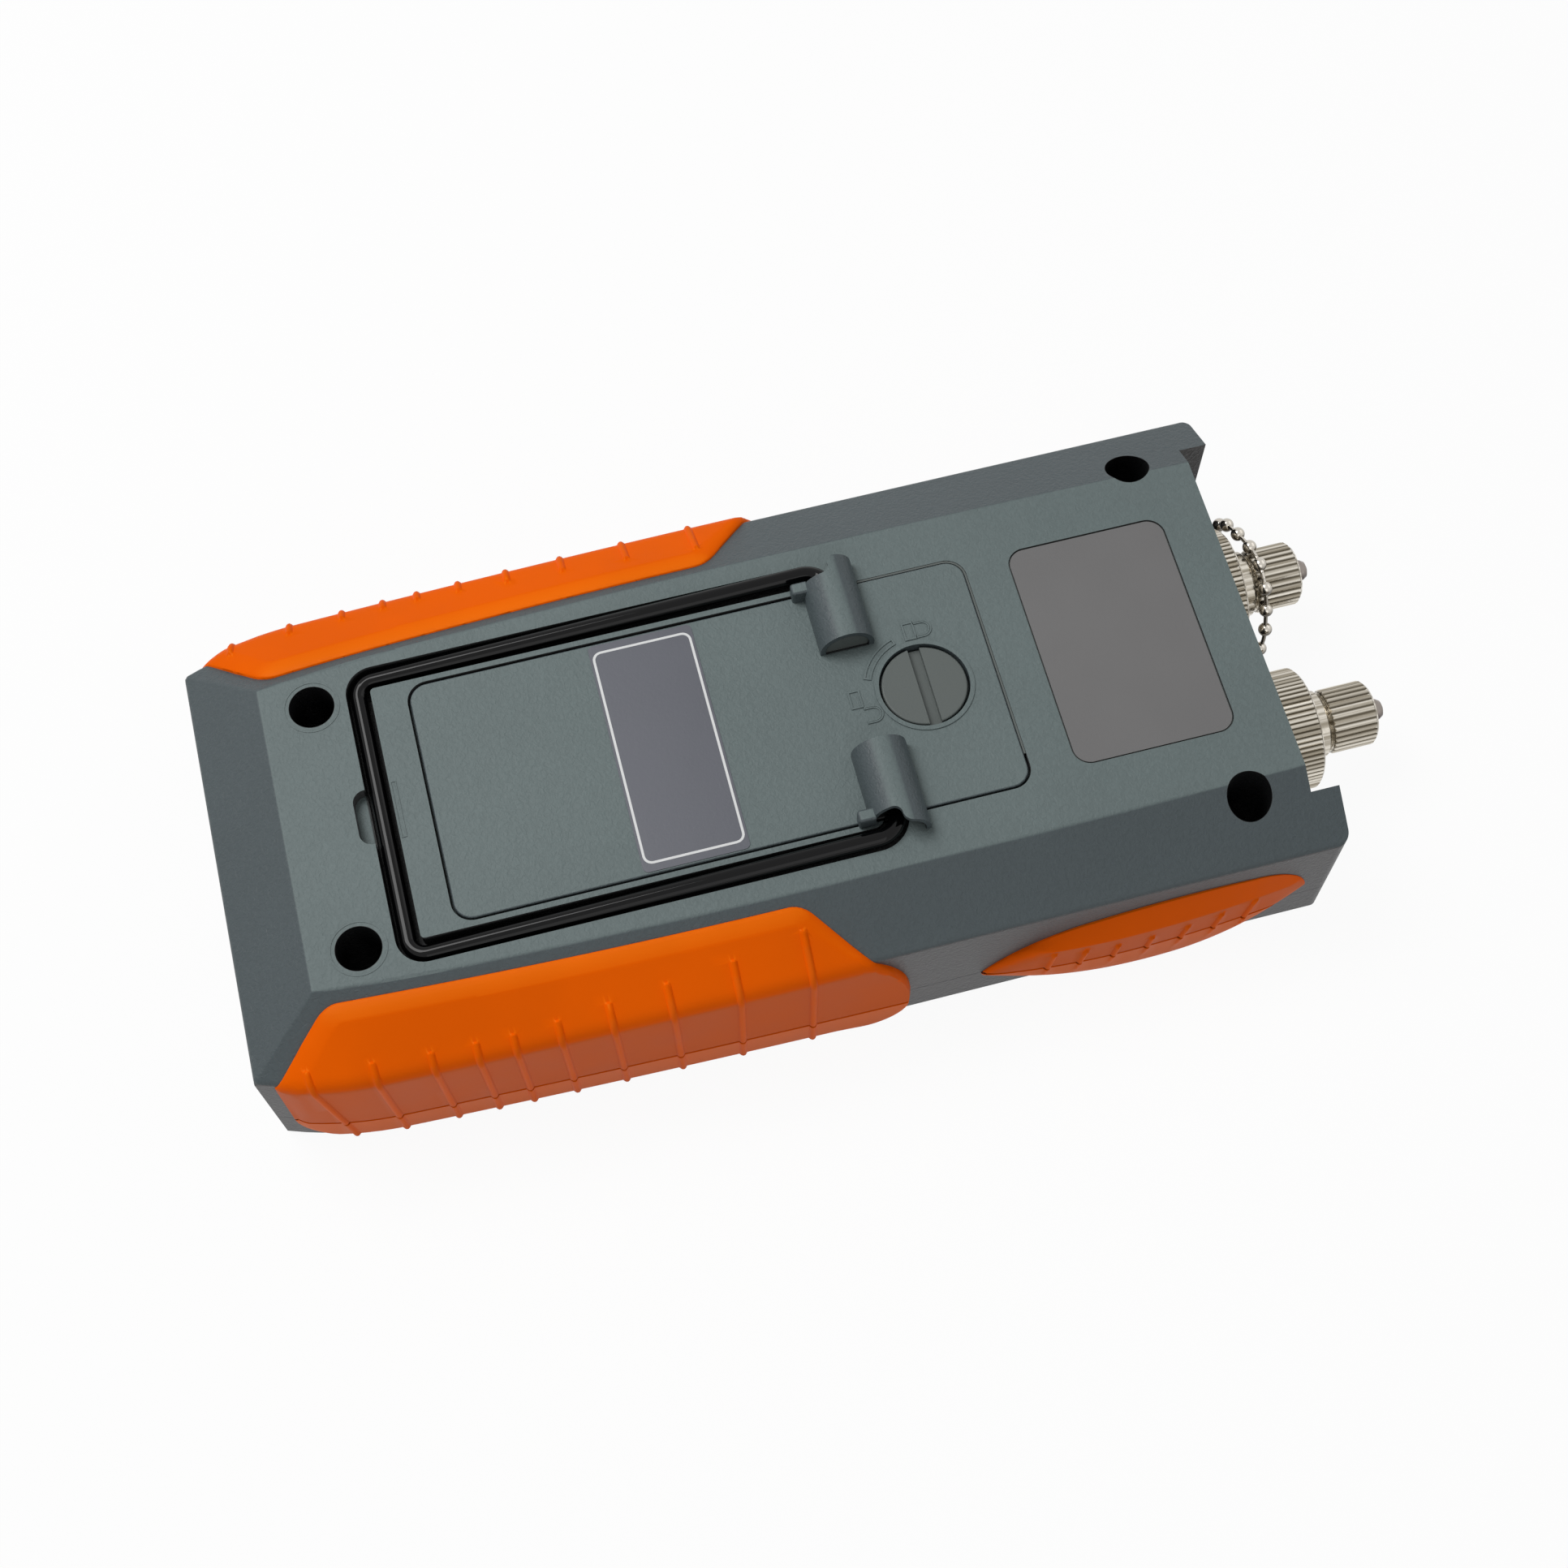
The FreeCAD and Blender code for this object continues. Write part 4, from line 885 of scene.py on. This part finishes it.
def splinePoints(route):
    curve = bpy.data.curves.new("chainRoute", "CURVE")
    curve.dimensions = "3D"
    spline = curve.splines.new("NURBS")
    spline.points.add(len(route) - 1)
    for point, place in zip(spline.points, route):
        point.co = (*place, 1.0)
    spline.order_u = chainSpec["order"]
    spline.use_endpoint_u = True
    spline.resolution_u = chainSpec["steps"]
    holder = bpy.data.objects.new("chainRoute", curve)
    line = bpy.data.meshes.new_from_object(holder)
    points = [v.co.copy() for v in line.vertices]
    bpy.data.objects.remove(holder)
    bpy.data.curves.remove(curve)
    bpy.data.meshes.remove(line)
    return points


def spaced(points, step):  # even places along a line, and its length
    total = sum((b - a).length for a, b in zip(points, points[1:]))
    count = round(total / step)
    gap = total / count
    places = [points[0]]
    travelled = 0.0
    for a, b in zip(points, points[1:]):
        run = (b - a).length
        while travelled + run >= gap * len(places) and len(places) <= count:
            share = (gap * len(places) - travelled) / run
            places.append(a.lerp(b, min(1.0, share)))
        travelled += run
    return places, total


def makeChain():
    points = splinePoints(chainRoute())
    pitch = chainSpec["pitch"] * mm
    places, total = spaced(points, pitch)
    bm = bmesh.new()
    for place in places:
        made = bmesh.ops.create_icosphere(bm, subdivisions=chainSpec["beadSteps"],
                                          radius=chainSpec["bead"] * mm)
        bmesh.ops.translate(bm, vec=place, verts=made["verts"])
    radius = chainSpec["linkRadius"] * mm
    joints = spaced(points, pitch / chainSpec["linksPerBead"])[0]
    for a, b in zip(joints, joints[1:]):
        turn = (b - a).to_track_quat("Z", "Y").to_matrix().to_4x4()
        bmesh.ops.create_cone(bm, cap_ends=True, segments=chainSpec["linkSides"], radius1=radius,
                              radius2=radius, depth=(b - a).length,
                              matrix=Matrix.Translation((a + b) / 2) @ turn)
    chain = addPiece("ball_chain", bm, "casing", looks["chain"], chainSpec["sharp"])
    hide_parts("cap_chain")
    print("chain made, length", round(total / mm, 1))


makeChain()

# Stage and light, in metres
stageSpec = {"floor": 1.6, "floorTone": 0.86, "floorRough": 0.9, "floorGlow": 0.94, "world": 0.2, "sky": 0.95}
lampSpecs = {
    "key": {"place": (-0.26, -0.32, 0.72), "target": (0, -0.03, 0.02), "size": (0.45, 0.45), "power": 4.3},
    "fill": {"place": (0.6, 0.0, 0.4), "target": (0, 0, 0.02), "size": (0.5, 0.5), "power": 0.6},
    "rim": {"place": (-0.1, 0.6, 0.45), "target": (0, 0, 0.02), "size": (0.6, 0.4), "power": 0.4}}


def grey(level):
    return (level, level, level, 1.0)


def seenRays(tree):  # what is looked at, straight or in a mirror or through glass
    path = addNode(tree, "LightPath").outputs
    return largest(tree, path["Is Camera Ray"], path["Is Glossy Ray"], path["Is Transmission Ray"])


def makeFloor():
    bm = bmesh.new()
    bmesh.ops.create_grid(bm, x_segments=1, y_segments=1, size=stageSpec["floor"])
    mesh = bpy.data.meshes.new("floor")
    bm.to_mesh(mesh)
    bm.free()
    floor = bpy.data.objects.new("floor", mesh)
    bpy.context.scene.collection.objects.link(floor)
    material, tree, shader = newMaterial("floor")
    setShader(tree, shader, {"Base Color": grey(stageSpec["floorTone"]), "Roughness": stageSpec["floorRough"],
                             "Specular IOR Level": 0.0})
    glow = addNode(tree, "Emission", None, Color=grey(1.0), Strength=1.0)
    blend = addNode(tree, "MixShader", None, i0=product(tree, seenRays(tree), stageSpec["floorGlow"]),
                    i1=shader.outputs[0], i2=glow.outputs[0])
    tree.links.new(blend.outputs[0], tree.nodes["Material Output"].inputs["Surface"])
    mesh.materials.append(material)


def addLamp(name, spec):
    data = bpy.data.lights.new(name, "AREA")
    data.shape = "RECTANGLE"
    data.size, data.size_y = spec["size"]
    data.energy = spec["power"]
    lamp = bpy.data.objects.new(name, data)
    lamp.location = spec["place"]
    aim = Vector(spec["target"]) - Vector(spec["place"])
    lamp.rotation_euler = aim.to_track_quat("-Z", "Y").to_euler()
    bpy.context.scene.collection.objects.link(lamp)


def makeWorld():
    world = bpy.data.worlds.new("studio")
    bpy.context.scene.world = world
    world.use_nodes = True
    tree = world.node_tree
    skyTone = mixColour(tree, seenRays(tree), grey(stageSpec["world"]), grey(stageSpec["sky"]))
    tree.links.new(skyTone, tree.nodes["Background"].inputs["Color"])


makeFloor()
for lampName, lampSpec in lampSpecs.items():
    addLamp(lampName, lampSpec)
makeWorld()
bpy.context.scene.view_settings.view_transform = "Standard"
print("stage set")
